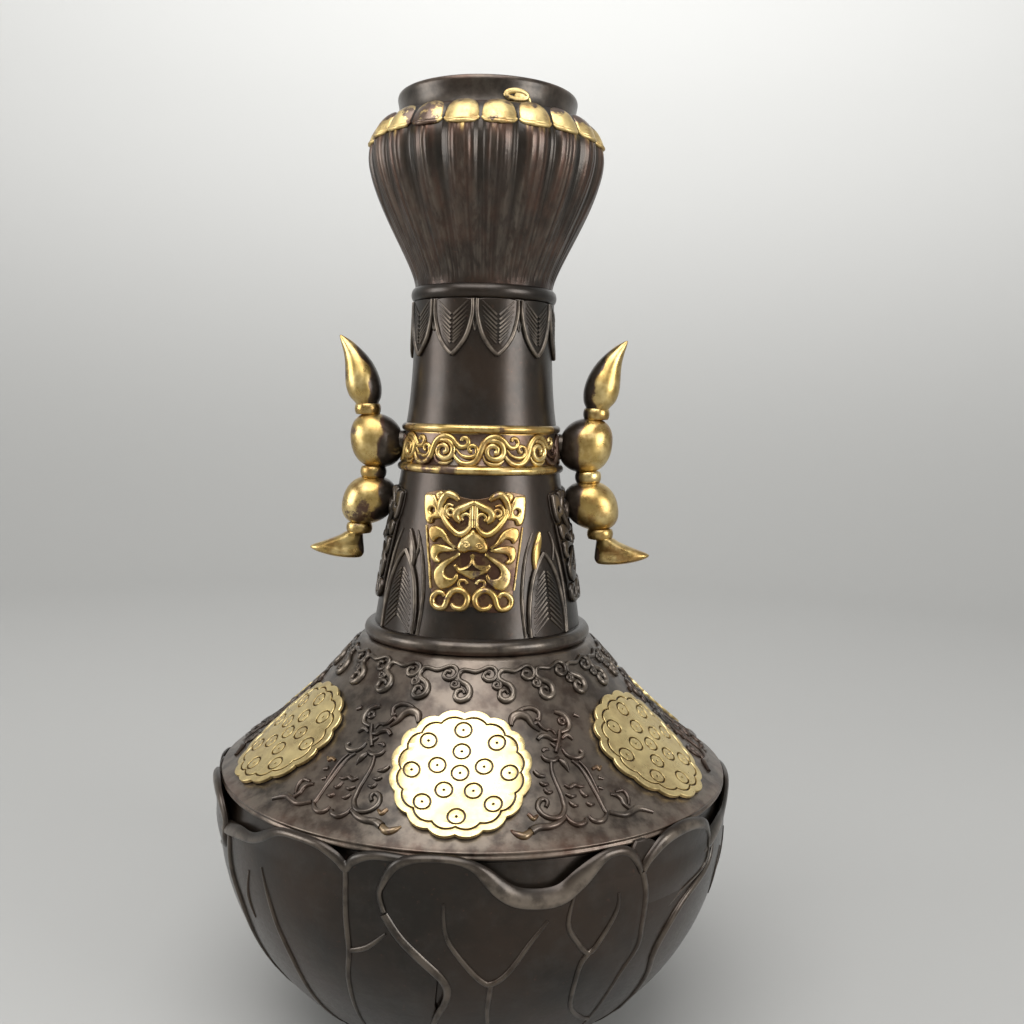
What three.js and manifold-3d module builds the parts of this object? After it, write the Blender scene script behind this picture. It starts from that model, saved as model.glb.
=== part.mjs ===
// Two-handled bronze vase with a garlic-shaped mouth, cast in sections and partly gilded.
// Millimetres, +Z up, front at -Y, origin at the middle of the foot's underside.

import * as THREE from 'three';
import { mergeVertices } from 'three/addons/utils/BufferGeometryUtils.js';
import Module from 'manifold-3d';

const wasm = await Module();
wasm.setup();

// Fits between the castings
const clearance = 0.3;          // room round each spigot, rivet and applied plate
const wall = 3.2;               // cast wall of bowl, shoulder and head
const spigotDepth = 5;          // how far a spigot reaches into the piece below it
const spigotWall = 2.2;
const spigotRoom = 1;           // room under the end of a spigot
const socketDraw = 3;           // straight part of the lower neck's bore, above its spigot

// Foot and base
const footHeight = 7;
const footSetBack = 1.2;        // the foot stands this far inside the bowl's own edge there
const footWidth = 6;            // breadth of the flat ring that the vase stands on
const coreHoleRadius = 30;      // hole in the bowl's floor, closed by the base disc
const discLap = 3.5;            // how far the base disc's flange laps over the floor
const discFlange = 1.6;         // thickness of that flange
const footWaist = 1.4;          // how far the foot's moulding draws in
const footLip = 0.4;            // bowl's edge over the top of the foot

// Bowl, wrapped in lotus leaves
const bowlHeight = 77;
const bowlRadius = 83.6;
const bowlFootRadius = 45.2;
const widestBelowSeam = 11;
const seamInset = 1.6;          // seam of bowl and shoulder, inside the bowl's widest line
const innerDraft = 0.4;         // extra wall at the bowl's waist
const floorFillet = 3;          // thickening where wall and floor meet
const leafCount = 6;
const leafStep = 1.1;           // a leaf's left edge stands this far over its neighbour
const lipProud = 1.7;           // turned-over lip of a leaf
const lipHeight = 2.4;
const lipShadow = 1.6;          // hollow behind the lip
const dipDepth = 8.6;           // deepest dip of a lip below the seam
const leafDipAzimuth = 16.5;    // middle of the front leaf's dip, degrees from the front

// Shoulder
const shoulderHeight = 43.5;
const collarRadius = 38;        // flat top that carries the neck
const neckHoleRadius = 30.5;
const rimHeight = 2.4;          // upright edge between seam and slope
const rimProud = 0.6;           // how far that edge stands out over the seam
const slopeOut = 0.2;           // slope's lower end, further out than the seam
const shoulderHollow = 5.4;     // how far the shoulder sags below a straight cone

// Moulding between shoulder and neck
const lowerRingHeight = 5;
const lowerRingRadius = 37.2;

// Lower neck
const lowerNeckHeight = 49.3;
const neckFootRadius = 33.9;
const neckWaistRadius = 26;

// Gilt band
const bandHeight = 15.4;
const bandBeadHeight = 2.7;
const lowerBeadRadius = 27.2;
const upperBeadRadius = 25.9;
const friezeSunk = 0.3;         // frieze ground inside the neck's own line
const beadSeat = 0.6;           // depth to which a bead's root reaches into the line of the neck

// Upper neck
const upperNeckHeight = 38.5;
const upperNeckFootRadius = 24.5;
const neckRadius = 22.3;
const neckBore = 18.5;          // radius of the bore through neck and head spigot
const bandSpigotRadius = 22.4;
const headSpigotRadius = 20.3;

// Moulding between neck and head
const neckRingHeight = 4.6;
const neckRingRadius = 23.5;
const ringSeat = 0.4;

// Fluted garlic head
const headHeight = 51.7;
const headRadius = 37.7;
const headFootRadius = 22.2;
const headWidestBelowTop = 11.7;
const headTopRadius = 29.2;
const petalCount = 20;
const grooveDepth = 1.3;
const headWaist = 0.8;          // how little the head swells in its lowest fifth
const headFloor = 6;            // solid metal between the neck's joint and the head's hollow

// Mouth rim
const mouthHeight = 8;
const mouthRadius = 28.6;
const mouthBore = 25.6;
const mouthSpigotRadius = 27.3;
const lipSwell = 0.5;           // waist under the lip and rounding over it

// Seed-pod medallions on the shoulder
const medallionCount = 6;
const medallionRadius = 20.2;
const medallionLobes = 16;
const medallionLobeDepth = 1.1;
const medallionThickness = 1.3;
const medallionPlace = 0.615;   // along the shoulder's slope, from collar to seam

// Mask plaques on the lower neck
const plaqueHeight = 37;
const plaqueTopWidth = 34;
const plaqueFootWidth = 25.2;
const plaqueThickness = 1.3;
const plaqueDrop = 4.7;         // from the band to the top of a plaque

// Handles and the rivets that hold them
const beadHalfWidth = 7.8;
const beadFullness = 2.3;       // 2 is an ellipse, more is fuller
const upperBeadHeight = 18;
const lowerBeadHeight = 16.2;
const upperBeadReach = 35.2;    // from the vase's axis to the middle of the bead
const lowerBeadReach = 37.7;
const upperBeadBelowBandTop = 6.2;
const collarHeight = 2.6;
const handleCollarRadius = 3.8;
const finialHeight = 22.4;
const finialHalfDepth = 5.9;    // at the flame's fullest
const hornHeight = 8.8;
const hornLength = 18;
const hornHalfDepth = 3.9;
const bossRadius = 3.5;
const rivetRadius = 2;
const rivetHeadRadius = 3.4;
const rivetHeadThickness = 1.2;
const rivetBite = 5;            // length of the rivet's shank inside the bead
const beadLean = 1.6;           // how much the lower bead leans outwards, from its middle
const upperBeadLean = 0.9;      // how much the upper bead leans inwards, from its middle
const hornCollarOut = 2.2;      // horn's collar, further out than the lower bead
const waistCollarIn = 1.05;     // collar between the beads, nearer the neck than they are
const finialOut = 2.3;          // finial, further out than the upper bead
const hornInset = 2.2;          // horn's inner side, inside the edge of its collar

// Facets
const headColumnsPerPetal = 4;
const wideFacets = 48;
const narrowFacets = 32;
const handleFacets = 12;
const barFacets = 10;

// Heights of the seats, from the foot up
const bowlFoot = footHeight;
const seam = bowlFoot + bowlHeight;
const shoulderTop = seam + shoulderHeight;
const neckFoot = shoulderTop + lowerRingHeight;
const bandFoot = neckFoot + lowerNeckHeight;
const bandTop = bandFoot + bandHeight;
const neckTop = bandTop + upperNeckHeight;
const headFoot = neckTop + neckRingHeight;
const headTop = headFoot + headHeight;
const mouthTop = headTop + mouthHeight;
const floorTop = bowlFoot + wall;
const footRadius = bowlFootRadius - footSetBack;
const seamRadius = bowlRadius - seamInset;

const degree = Math.PI / 180;
const mix = THREE.MathUtils.lerp;

// Finishes
const bronze = { color: 0x3b332f, roughness: 0.42, metalness: 0.85 };
const coppery = { color: 0x4a342b, roughness: 0.45, metalness: 0.85 };
const gilt = { color: 0xc9a24a, roughness: 0.3, metalness: 1 };
const rivetBrass = { color: 0x7d6a45, roughness: 0.5, metalness: 1 };

// Shared vertices only, with no flat triangles
function closedBody(geometry) {
  geometry.deleteAttribute('normal');
  geometry.deleteAttribute('uv');
  const merged = mergeVertices(geometry, 1e-4);
  const index = merged.index.array;
  const kept = [];
  for (let i = 0; i < index.length; i += 3) {
    const [a, b, c] = [index[i], index[i + 1], index[i + 2]];
    if (a !== b && b !== c && c !== a) {
      kept.push(a, b, c);
    }
  }
  merged.setIndex(kept);
  return merged;
}

// A body turned round the upright axis. outlineAt(column) gives its closed outline as
// [radius, height] points listed anticlockwise; azimuthAt(column, height) places the column.
function turnedBody(outlineAt, columns, azimuthAt = (column) => (360 * column) / columns) {
  const first = outlineAt(0);
  const profile = [...first, first[0]].map(([radius, height]) => new THREE.Vector2(radius, height));
  const geometry = new THREE.LatheGeometry(profile, columns);
  const position = geometry.attributes.position;
  for (let column = 0; column <= columns; column += 1) {
    const outline = outlineAt(column % columns);
    for (let row = 0; row < profile.length; row += 1) {
      const [radius, height] = outline[row % outline.length];
      const azimuth = azimuthAt(column % columns, height) * degree;
      const x = radius * Math.sin(azimuth);
      const y = -radius * Math.cos(azimuth);
      position.setXYZ(column * profile.length + row, x, y, height);
    }
  }
  return closedBody(geometry);
}

function turned(outline, columns) {
  return turnedBody(() => outline, columns);
}

function solidOf(geometry) {
  const mesh = new wasm.Mesh({
    numProp: 3,
    vertProperties: new Float32Array(geometry.attributes.position.array),
    triVerts: new Uint32Array(geometry.index.array),
  });
  return new wasm.Manifold(mesh);
}

function geometryOf(solid) {
  const mesh = solid.getMesh();
  const geometry = new THREE.BufferGeometry();
  geometry.setAttribute('position', new THREE.BufferAttribute(new Float32Array(mesh.vertProperties), 3));
  geometry.setIndex(new THREE.BufferAttribute(new Uint32Array(mesh.triVerts), 1));
  return geometry;
}

// Lowest to highest points of a half-round moulding standing proud of a flat face
function beadPoints(inner, outer, bottom, top, steps = 3) {
  const half = (top - bottom) / 2;
  const middle = (top + bottom) / 2;
  const bulge = Math.min(half, outer - inner);
  const points = [];
  for (let step = 0; step <= steps; step += 1) {
    const angle = -Math.PI / 2 + (Math.PI * step) / steps;
    points.push([outer - bulge + bulge * Math.cos(angle), middle + half * Math.sin(angle)]);
  }
  return points;
}

const named = new THREE.Group();

function add(name, geometry, finish) {
  const mesh = new THREE.Mesh(geometry, new THREE.MeshStandardMaterial(finish));
  mesh.name = name;
  named.add(mesh);
  return mesh;
}

// Foot ring: a waisted moulding with a flat underside
const footInner = footRadius - footWidth;
const footOutline = [
  [footInner, 0],
  [footRadius, 0],
  [footRadius, footHeight * 0.25],
  [footRadius - footWaist, footHeight * 0.5],
  [bowlFootRadius - footLip, footHeight],
  [footInner, footHeight],
];
add('foot_ring', turned(footOutline, narrowFacets), bronze);

// Base disc: dropped into the core hole from inside and lapped over the floor
const discOutline = [
  [0, bowlFoot],
  [coreHoleRadius - clearance, bowlFoot],
  [coreHoleRadius - clearance, floorTop],
  [coreHoleRadius + discLap, floorTop],
  [coreHoleRadius + discLap, floorTop + discFlange],
  [0, floorTop + discFlange],
];
add('base_disc', turned(discOutline, narrowFacets), bronze);

// Bowl wall: an ellipse below the widest height and a flatter one above it
const widest = seam - widestBelowSeam;
const lowerDepth = (widest - bowlFoot) / Math.sqrt(1 - (bowlFootRadius / bowlRadius) ** 2);
const upperDepth = widestBelowSeam / Math.sqrt(1 - (seamRadius / bowlRadius) ** 2);

function bowlRadiusAt(height) {
  const depth = height < widest ? lowerDepth : upperDepth;
  return bowlRadius * Math.sqrt(Math.max(0, 1 - ((height - widest) / depth) ** 2));
}

// Smooth line through a few points, each [place, value]
function lineThrough(points, place) {
  for (let i = 1; i < points.length; i += 1) {
    const [fromPlace, fromValue] = points[i - 1];
    const [toPlace, toValue] = points[i];
    if (place <= toPlace) {
      const share = THREE.MathUtils.smoothstep(place, fromPlace, toPlace);
      return mix(fromValue, toValue, share);
    }
  }
  return points[points.length - 1][1];
}

// Rim of one leaf: share of the dip's depth, at degrees right of the middle of the dip
const leafPitch = 360 / leafCount;
const rimPoints = [[-24, 0.21], [-12, 0.35], [0, 1], [12, 0.26], [20, 0.88], [28, 0.21], [36, 0.21]];

// Sideways S of a leaf's edge, in degrees, at shares of the bowl's height
const swayPoints = [[0, 0], [0.18, 3], [0.49, 9], [0.65, 5], [0.79, -2], [0.88, -3], [1, 0]];

// Columns of one leaf, in degrees from the middle of its dip; the first is the neighbour's
// surface just beside the leaf's left edge
const leafColumns = [-24, -22.6, -15, -7.5, 0, 6, 11, 15.5, 20, 24.5, 30];
const leafEdge = leafColumns[0];
const bowlColumns = leafCount * leafColumns.length;

function bowlAzimuth(column, height) {
  const leaf = Math.floor(column / leafColumns.length);
  const fromDip = leafColumns[column % leafColumns.length];
  const sway = lineThrough(swayPoints, (height - bowlFoot) / bowlHeight);
  return leafDipAzimuth + leaf * leafPitch + fromDip + sway;
}

const bowlBore = seamRadius - wall;
const innerSteps = [0.3, 0.7];
const leafRows = [0.13, 0.34, 0.55, 0.78];      // shares of the bowl's height, below the lip

function innerBowl(height) {
  return bowlRadiusAt(height) * (1 - wall / bowlRadius) - innerDraft;
}

function bowlOutline(column) {
  const fromDip = leafColumns[column % leafColumns.length];
  const rim = seam - dipDepth * lineThrough(rimPoints, fromDip);
  const overlap = fromDip === leafEdge ? 0 : leafStep * (1 - (fromDip - leafEdge) / leafPitch);
  const outline = [[coreHoleRadius, floorTop], [coreHoleRadius, bowlFoot], [bowlFootRadius, bowlFoot]];
  for (const row of leafRows) {
    const height = mix(bowlFoot, seam, row);
    outline.push([bowlRadiusAt(height) + overlap * Math.min(1, row / 0.4), height]);
  }
  outline.push([bowlRadiusAt(rim - lipHeight) + overlap, rim - lipHeight]);
  outline.push([bowlRadiusAt(rim - lipHeight / 2) + overlap + lipProud, rim - lipHeight * 0.7]);
  outline.push([bowlRadiusAt(rim) + overlap + lipProud * 0.6, rim]);
  outline.push([bowlRadiusAt(rim) - lipShadow, rim - lipHeight * 0.1]);
  outline.push([seamRadius, seam]);
  outline.push([bowlBore, seam]);
  outline.push([bowlBore, seam - spigotDepth - spigotRoom]);
  for (const step of innerSteps) {
    const height = mix(seam - spigotDepth - spigotRoom, floorTop, step);
    outline.push([innerBowl(height), height]);
  }
  outline.push([innerBowl(floorTop) - floorFillet, floorTop]);
  return outline;
}

add('lotus_leaf_bowl', turnedBody(bowlOutline, bowlColumns, bowlAzimuth), bronze);

// Shoulder: a cone that sags between its flat collar and the seam
const shoulderStart = new THREE.Vector2(collarRadius, shoulderTop);
const shoulderEnd = new THREE.Vector2(seamRadius + slopeOut, seam + rimHeight);
const shoulderChord = shoulderEnd.clone().sub(shoulderStart);
const shoulderMiddle = shoulderStart.clone().add(shoulderEnd).multiplyScalar(0.5);
const shoulderInward = new THREE.Vector2(shoulderChord.y, -shoulderChord.x).normalize();
const shoulderPull = shoulderMiddle.clone().addScaledVector(shoulderInward, shoulderHollow);
const shoulderCurve = new THREE.QuadraticBezierCurve(shoulderStart, shoulderPull, shoulderEnd);

// Point on the slope, raised by a distance along its normal
function onShoulder(share, raise) {
  const point = shoulderCurve.getPoint(share);
  const tangent = shoulderCurve.getTangent(share);
  return [point.x - tangent.y * raise, point.y + tangent.x * raise];
}

const slopeShares = [0, 0.3, 0.64, 1];
const shoulderOutline = [
  [seamRadius - wall - clearance - spigotWall, seam - spigotDepth],
  [seamRadius - wall - clearance, seam - spigotDepth],
  [seamRadius - wall - clearance, seam],
  [seamRadius, seam],
  [seamRadius + rimProud, seam + rimHeight * 0.25],
  [seamRadius + rimProud, seam + rimHeight * 0.7],
  ...[...slopeShares].reverse().map((share) => onShoulder(share, 0)),
  [neckHoleRadius, shoulderTop],
  [neckHoleRadius, shoulderTop - spigotDepth - spigotRoom],
  onShoulder(0.45, -wall),
  [seamRadius - wall - clearance - spigotWall, seam + spigotRoom],
];
add('shoulder', turned(shoulderOutline, wideFacets), coppery);

// Ring moulding that hides the joint of shoulder and neck
const lowerRingOutline = [
  [neckHoleRadius, shoulderTop],
  ...beadPoints(neckFootRadius, lowerRingRadius, shoulderTop, neckFoot),
  [neckHoleRadius, neckFoot],
];
add('neck_foot_moulding', turned(lowerRingOutline, narrowFacets), bronze);

// Lower neck: a cone with a spigot below and a socket above
function lowerNeckRadiusAt(height) {
  return mix(neckFootRadius, neckWaistRadius, (height - neckFoot) / lowerNeckHeight);
}

const neckSpigotRadius = neckHoleRadius - clearance;
const neckSpigotBore = neckSpigotRadius - spigotWall;
const socketRadius = bandSpigotRadius + clearance;
const lowerNeckOutline = [
  [neckSpigotBore, shoulderTop - spigotDepth],
  [neckSpigotRadius, shoulderTop - spigotDepth],
  [neckSpigotRadius, neckFoot],
  [neckFootRadius, neckFoot],
  [neckWaistRadius, bandFoot],
  [socketRadius, bandFoot],
  [socketRadius, bandFoot - spigotDepth],
  [neckSpigotBore, neckFoot + socketDraw],
];

function lowerNeckBoreAt(height) {
  const drawFoot = neckFoot + socketDraw;
  const share = (height - drawFoot) / (bandFoot - spigotDepth - drawFoot);
  return mix(neckSpigotBore, socketRadius, share);
}

// Round bar along X, used for rivets and for the holes that they pass through
function crossBar(radius, fromX, toX, height) {
  const bar = new THREE.CylinderGeometry(radius, radius, toX - fromX, barFacets);
  bar.rotateZ(-Math.PI / 2);
  bar.translate((fromX + toX) / 2, 0, height);
  return closedBody(bar);
}

const upperRivetHeight = bandTop - upperBeadBelowBandTop;
const lowerBeadTop = upperRivetHeight - upperBeadHeight / 2 - collarHeight;
const lowerRivetHeight = lowerBeadTop - lowerBeadHeight / 2;
const rivetHole = rivetRadius + clearance;
const farSide = lowerRingRadius;

function withRivetHoles(geometry, height) {
  const hole = solidOf(crossBar(rivetHole, -farSide, farSide, height));
  return geometryOf(solidOf(geometry).subtract(hole));
}

const lowerNeckBody = turned(lowerNeckOutline, narrowFacets);
add('lower_neck', withRivetHoles(lowerNeckBody, lowerRivetHeight), bronze);

// Band: two beads and a frieze, a sleeve round the spigot of the upper neck
function friezeRadiusAt(height) {
  return mix(neckWaistRadius, upperNeckFootRadius, (height - bandFoot) / bandHeight) - friezeSunk;
}

const bandOutline = [
  [socketRadius, bandFoot],
  ...beadPoints(neckWaistRadius - beadSeat, lowerBeadRadius, bandFoot, bandFoot + bandBeadHeight),
  [friezeRadiusAt(bandFoot + bandBeadHeight), bandFoot + bandBeadHeight],
  [friezeRadiusAt(bandTop - bandBeadHeight), bandTop - bandBeadHeight],
  ...beadPoints(upperNeckFootRadius - beadSeat, upperBeadRadius, bandTop - bandBeadHeight, bandTop),
  [socketRadius, bandTop],
];
add('gilt_band', withRivetHoles(turned(bandOutline, narrowFacets), upperRivetHeight), gilt);

// Upper neck: its long spigot passes through the band into the lower neck's socket
const upperNeckCurve = new THREE.QuadraticBezierCurve(
  new THREE.Vector2(upperNeckFootRadius, bandTop),
  new THREE.Vector2(neckRadius, bandTop + upperNeckHeight / 3),
  new THREE.Vector2(neckRadius, neckTop),
);
const headSocketRadius = headSpigotRadius + clearance;
const upperNeckOutline = [
  [neckBore, bandFoot - spigotDepth],
  [bandSpigotRadius, bandFoot - spigotDepth],
  [bandSpigotRadius, bandTop],
  ...upperNeckCurve.getPoints(3).map((point) => [point.x, point.y]),
  [headSocketRadius, neckTop],
  [headSocketRadius, neckTop - spigotDepth - clearance],
  [neckBore, neckTop - spigotDepth - clearance],
];
add('upper_neck', withRivetHoles(turned(upperNeckOutline, narrowFacets), upperRivetHeight), bronze);

// Ring moulding that hides the joint of neck and head
const neckRingOutline = [
  [headSocketRadius, neckTop],
  ...beadPoints(neckRadius - ringSeat, neckRingRadius, neckTop, headFoot),
  [headSocketRadius, headFoot],
];
add('neck_top_moulding', turned(neckRingOutline, narrowFacets), bronze);

// Head: petals swell from the neck, each parted from the next by a groove
const headWidest = headTop - headWidestBelowTop;
const headRise = new THREE.CubicBezierCurve(
  new THREE.Vector2(headFootRadius, headFoot),
  new THREE.Vector2(headFootRadius + headWaist, mix(headFoot, headWidest, 0.2)),
  new THREE.Vector2(headRadius, mix(headFoot, headWidest, 0.7)),
  new THREE.Vector2(headRadius, headWidest),
);
const headTurnIn = new THREE.EllipseCurve(
  headTopRadius, headWidest, headRadius - headTopRadius, headWidestBelowTop, 0, Math.PI / 2,
);
const headLine = [...headRise.getPoints(4), ...headTurnIn.getPoints(3).slice(1)];
const mouthSocketRadius = mouthSpigotRadius + clearance;
const headColumns = petalCount * headColumnsPerPetal;

function headOutline(column) {
  const acrossPetal = (column % headColumnsPerPetal) / headColumnsPerPetal;
  const inGroove = 1 - Math.sin(Math.PI * acrossPetal);
  const outline = [[neckBore, neckTop - spigotDepth], [headSpigotRadius, neckTop - spigotDepth]];
  outline.push([headSpigotRadius, headFoot]);
  for (const point of headLine) {
    const swell = (point.x - headFootRadius) / (headRadius - headFootRadius);
    const groove = point.y < headTop ? grooveDepth * Math.max(0.2, swell) : 0;
    outline.push([point.x - groove * inGroove, point.y]);
  }
  outline.push([mouthSocketRadius, headTop]);
  outline.push([mouthSocketRadius, headTop - spigotDepth]);
  outline.push([headRadius - wall - grooveDepth, headWidest]);
  outline.push([neckBore, headFoot + headFloor]);
  return outline;
}

add('garlic_head', turnedBody(headOutline, headColumns), coppery);

// Mouth rim: a short upright collar with a slightly swelled lip
const mouthOutline = [
  [mouthBore, headTop - spigotDepth + spigotRoom],
  [mouthSpigotRadius, headTop - spigotDepth + spigotRoom],
  [mouthSpigotRadius, headTop],
  [mouthRadius, headTop],
  [mouthRadius - lipSwell, mix(headTop, mouthTop, 0.5)],
  [mouthRadius, mix(headTop, mouthTop, 0.85)],
  [mouthRadius - lipSwell, mouthTop],
  [mouthBore, mouthTop],
];
add('mouth_rim', turned(mouthOutline, narrowFacets), bronze);

// Medallions: scalloped plates cut from a thin cone that lies on the shoulder
const coneOutline = [
  ...slopeShares.map((share) => onShoulder(share, clearance)),
  ...[...slopeShares].reverse().map((share) => onShoulder(share, clearance + medallionThickness)),
];

function scallopedShape(radius, lobes, depth) {
  const points = [];
  const stepsPerLobe = 3;
  for (let step = 0; step < lobes * stepsPerLobe; step += 1) {
    const angle = (2 * Math.PI * step) / (lobes * stepsPerLobe);
    const inLobe = Math.abs(Math.sin((lobes * angle) / 2));
    const reach = radius - depth * (1 - inLobe);
    points.push(new THREE.Vector2(reach * Math.cos(angle), reach * Math.sin(angle)));
  }
  return new THREE.Shape(points);
}

const medallionShape = scallopedShape(medallionRadius, medallionLobes, medallionLobeDepth);
const cutterDepth = medallionRadius;
const straightCut = { depth: cutterDepth, bevelEnabled: false };
const medallionCutter = new THREE.ExtrudeGeometry(medallionShape, straightCut);
const [medallionReach, medallionHeight] = onShoulder(medallionPlace, 0);
const slope = shoulderCurve.getTangent(medallionPlace);
medallionCutter.translate(0, 0, -cutterDepth / 2);
medallionCutter.rotateX(Math.atan2(slope.x, -slope.y));
medallionCutter.translate(0, -medallionReach, medallionHeight);
const plateCone = solidOf(turned(coneOutline, wideFacets));
const medallionBody = geometryOf(plateCone.intersect(solidOf(closedBody(medallionCutter))));
for (let number = 0; number < medallionCount; number += 1) {
  const medallion = add(`medallion_${number + 1}`, medallionBody.clone(), gilt);
  medallion.rotation.z = (2 * Math.PI * number) / medallionCount;
}

// Mask plaques: cut by their outline from a thin sleeve round the lower neck
const plaqueTop = bandFoot - plaqueDrop;
const plaqueFoot = plaqueTop - plaqueHeight;
const sleeveFoot = plaqueFoot - plaqueThickness;
const sleeveTop = plaqueTop + plaqueThickness;
const sleeveOutline = [
  [lowerNeckRadiusAt(sleeveFoot) + clearance, sleeveFoot],
  [lowerNeckRadiusAt(sleeveFoot) + clearance + plaqueThickness, sleeveFoot],
  [lowerNeckRadiusAt(sleeveTop) + clearance + plaqueThickness, sleeveTop],
  [lowerNeckRadiusAt(sleeveTop) + clearance, sleeveTop],
];

// Half outline of the mask from the middle of its foot to the middle of its crown,
// as shares of half width and height
const maskHalf = [
  [0, 0.02], [0.3, 0], [0.62, 0.03], [0.74, 0.12], [0.66, 0.22], [0.74, 0.3], [0.84, 0.4],
  [0.82, 0.52], [0.93, 0.6], [0.9, 0.74], [1, 0.82], [0.97, 0.93], [0.86, 1], [0.7, 0.94],
  [0.56, 1], [0.44, 0.9], [0.3, 0.95], [0.14, 0.99], [0, 0.93],
];

// Flat distances across the mask become the same distances round the neck
function maskShape() {
  const place = ([across, up], side) => {
    const height = mix(plaqueFoot, plaqueTop, up);
    const halfWidth = mix(plaqueFootWidth, plaqueTopWidth, Math.min(1, up * 1.4)) / 2;
    const radius = lowerNeckRadiusAt(height) + clearance + plaqueThickness;
    return new THREE.Vector2(side * radius * Math.sin((across * halfWidth) / radius), height);
  };
  const right = maskHalf.map((point) => place(point, 1));
  const left = maskHalf.slice(1, -1).reverse().map((point) => place(point, -1));
  return new THREE.Shape([...right, ...left]);
}

const maskCutter = new THREE.ExtrudeGeometry(maskShape(), { depth: farSide, bevelEnabled: false });
maskCutter.rotateX(Math.PI / 2);
const plainMask = solidOf(turned(sleeveOutline, narrowFacets)).intersect(solidOf(closedBody(maskCutter)));
const maskBody = geometryOf(plainMask);

const rivetThroughFront = crossBar(rivetHole, 0, farSide, lowerRivetHeight).rotateZ(-Math.PI / 2);
const drilledMask = geometryOf(plainMask.subtract(solidOf(rivetThroughFront)));
const maskSides = [
  ['front', 0, maskBody, gilt],
  ['right', 90, drilledMask, bronze],
  ['back', 180, maskBody, gilt],
  ['left', 270, drilledMask, bronze],
];
for (const [side, azimuth, body, finish] of maskSides) {
  const plaque = add(`mask_plaque_${side}`, body.clone(), finish);
  plaque.rotation.z = azimuth * degree;
}

// Handle: horn, two beads and a flame finial in one casting. Each level of it is
// [height, inner reach, outer reach, half depth].
function beadLevels(bottom, top, reachBelow, reachAbove) {
  const levels = [];
  for (const place of [-0.86, -0.5, 0, 0.5, 0.86]) {
    const share = (place + 1) / 2;
    const half = beadHalfWidth * (1 - Math.abs(place) ** beadFullness) ** (1 / beadFullness);
    const middle = mix(reachBelow, reachAbove, share);
    levels.push([mix(bottom, top, share), middle - half, middle + half, half]);
  }
  return levels;
}

function collarLevels(bottom, reach) {
  return [0.2, 0.8].map((up) => [
    bottom + collarHeight * up, reach - handleCollarRadius, reach + handleCollarRadius, handleCollarRadius,
  ]);
}

const lowerBeadBottom = lowerBeadTop - lowerBeadHeight;
const upperBeadBottom = lowerBeadTop + collarHeight;
const upperBeadTop = upperBeadBottom + upperBeadHeight;
const finialBottom = upperBeadTop + collarHeight;
const hornTop = lowerBeadBottom - collarHeight;
const hornCollarReach = lowerBeadReach + hornCollarOut;
const waistReach = (upperBeadReach + lowerBeadReach) / 2 - waistCollarIn;
const finialReach = upperBeadReach + finialOut;
const hornInner = hornCollarReach - handleCollarRadius + hornInset;

// Levels as shares, [height, inner reach, outer reach, half depth]; the horn's reaches are
// shares of its length, the finial's of its half depth
const hornShape = [
  [0.03, 0.06, 0.48, 0.67], [0.13, 0.01, 0.75, 0.92], [0.3, 0, 0.97, 1], [0.42, 0, 1, 1],
  [0.62, 0.01, 0.76, 1], [0.92, 0.03, 0.4, 0.92],
];
const finialShape = [
  [0.05, -0.68, 0.68, 0.68], [0.22, -0.81, 1.19, 1], [0.4, -0.68, 1.2, 0.93],
  [0.58, -0.37, 1.25, 0.78], [0.78, 0.27, 1.37, 0.51], [1, 1.41, 1.59, 0.08],
];
const handleLevels = [
  ...hornShape.map(([up, inner, outer, half]) => [
    mix(hornTop - hornHeight, hornTop, up),
    hornInner + inner * hornLength,
    hornInner + outer * hornLength,
    half * hornHalfDepth,
  ]),
  ...collarLevels(hornTop, hornCollarReach),
  ...beadLevels(lowerBeadBottom, lowerBeadTop, lowerBeadReach + beadLean, lowerBeadReach - beadLean),
  ...collarLevels(lowerBeadTop, waistReach),
  ...beadLevels(
    upperBeadBottom, upperBeadTop, upperBeadReach - upperBeadLean, upperBeadReach + upperBeadLean,
  ),
  ...collarLevels(upperBeadTop, finialReach),
  ...finialShape.map(([up, inner, outer, half]) => [
    finialBottom + up * finialHeight,
    finialReach + inner * finialHalfDepth,
    finialReach + outer * finialHalfDepth,
    half * finialHalfDepth,
  ]),
];

// Ellipses stacked up the handle, closed by a point at each end
function stackedBody(levels) {
  const rows = [levels[0], ...levels, levels[levels.length - 1]];
  const profile = rows.map(([height], row) => {
    const isEnd = row === 0 || row === rows.length - 1;
    return new THREE.Vector2(isEnd ? 0 : 1, height);
  });
  const geometry = new THREE.LatheGeometry(profile, handleFacets);
  const position = geometry.attributes.position;
  for (let spot = 0; spot < position.count; spot += 1) {
    const row = spot % rows.length;
    const column = Math.floor(spot / rows.length) % handleFacets;
    const [height, inner, outer, halfDepth] = rows[row];
    const isEnd = row === 0 || row === rows.length - 1;
    const angle = (2 * Math.PI * column) / handleFacets;
    const reach = isEnd ? 0 : 1;
    const x = (inner + outer) / 2 + (reach * (outer - inner) * Math.sin(angle)) / 2;
    const y = -reach * halfDepth * Math.cos(angle);
    position.setXYZ(spot, x, y, height);
  }
  return closedBody(geometry);
}

const friezeFace = friezeRadiusAt(upperRivetHeight) + clearance;
const boss = solidOf(crossBar(bossRadius, friezeFace, upperBeadReach, upperRivetHeight));
const upperHoleEnd = upperBeadReach - beadHalfWidth + rivetBite;
const lowerHoleEnd = lowerBeadReach - beadHalfWidth + rivetBite;
const upperHole = solidOf(crossBar(rivetHole, 0, upperHoleEnd, upperRivetHeight));
const lowerHole = solidOf(crossBar(rivetHole, 0, lowerHoleEnd, lowerRivetHeight));
const handleSolid = solidOf(stackedBody(handleLevels)).add(boss).subtract(upperHole).subtract(lowerHole);
const handleBody = geometryOf(handleSolid);

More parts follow.
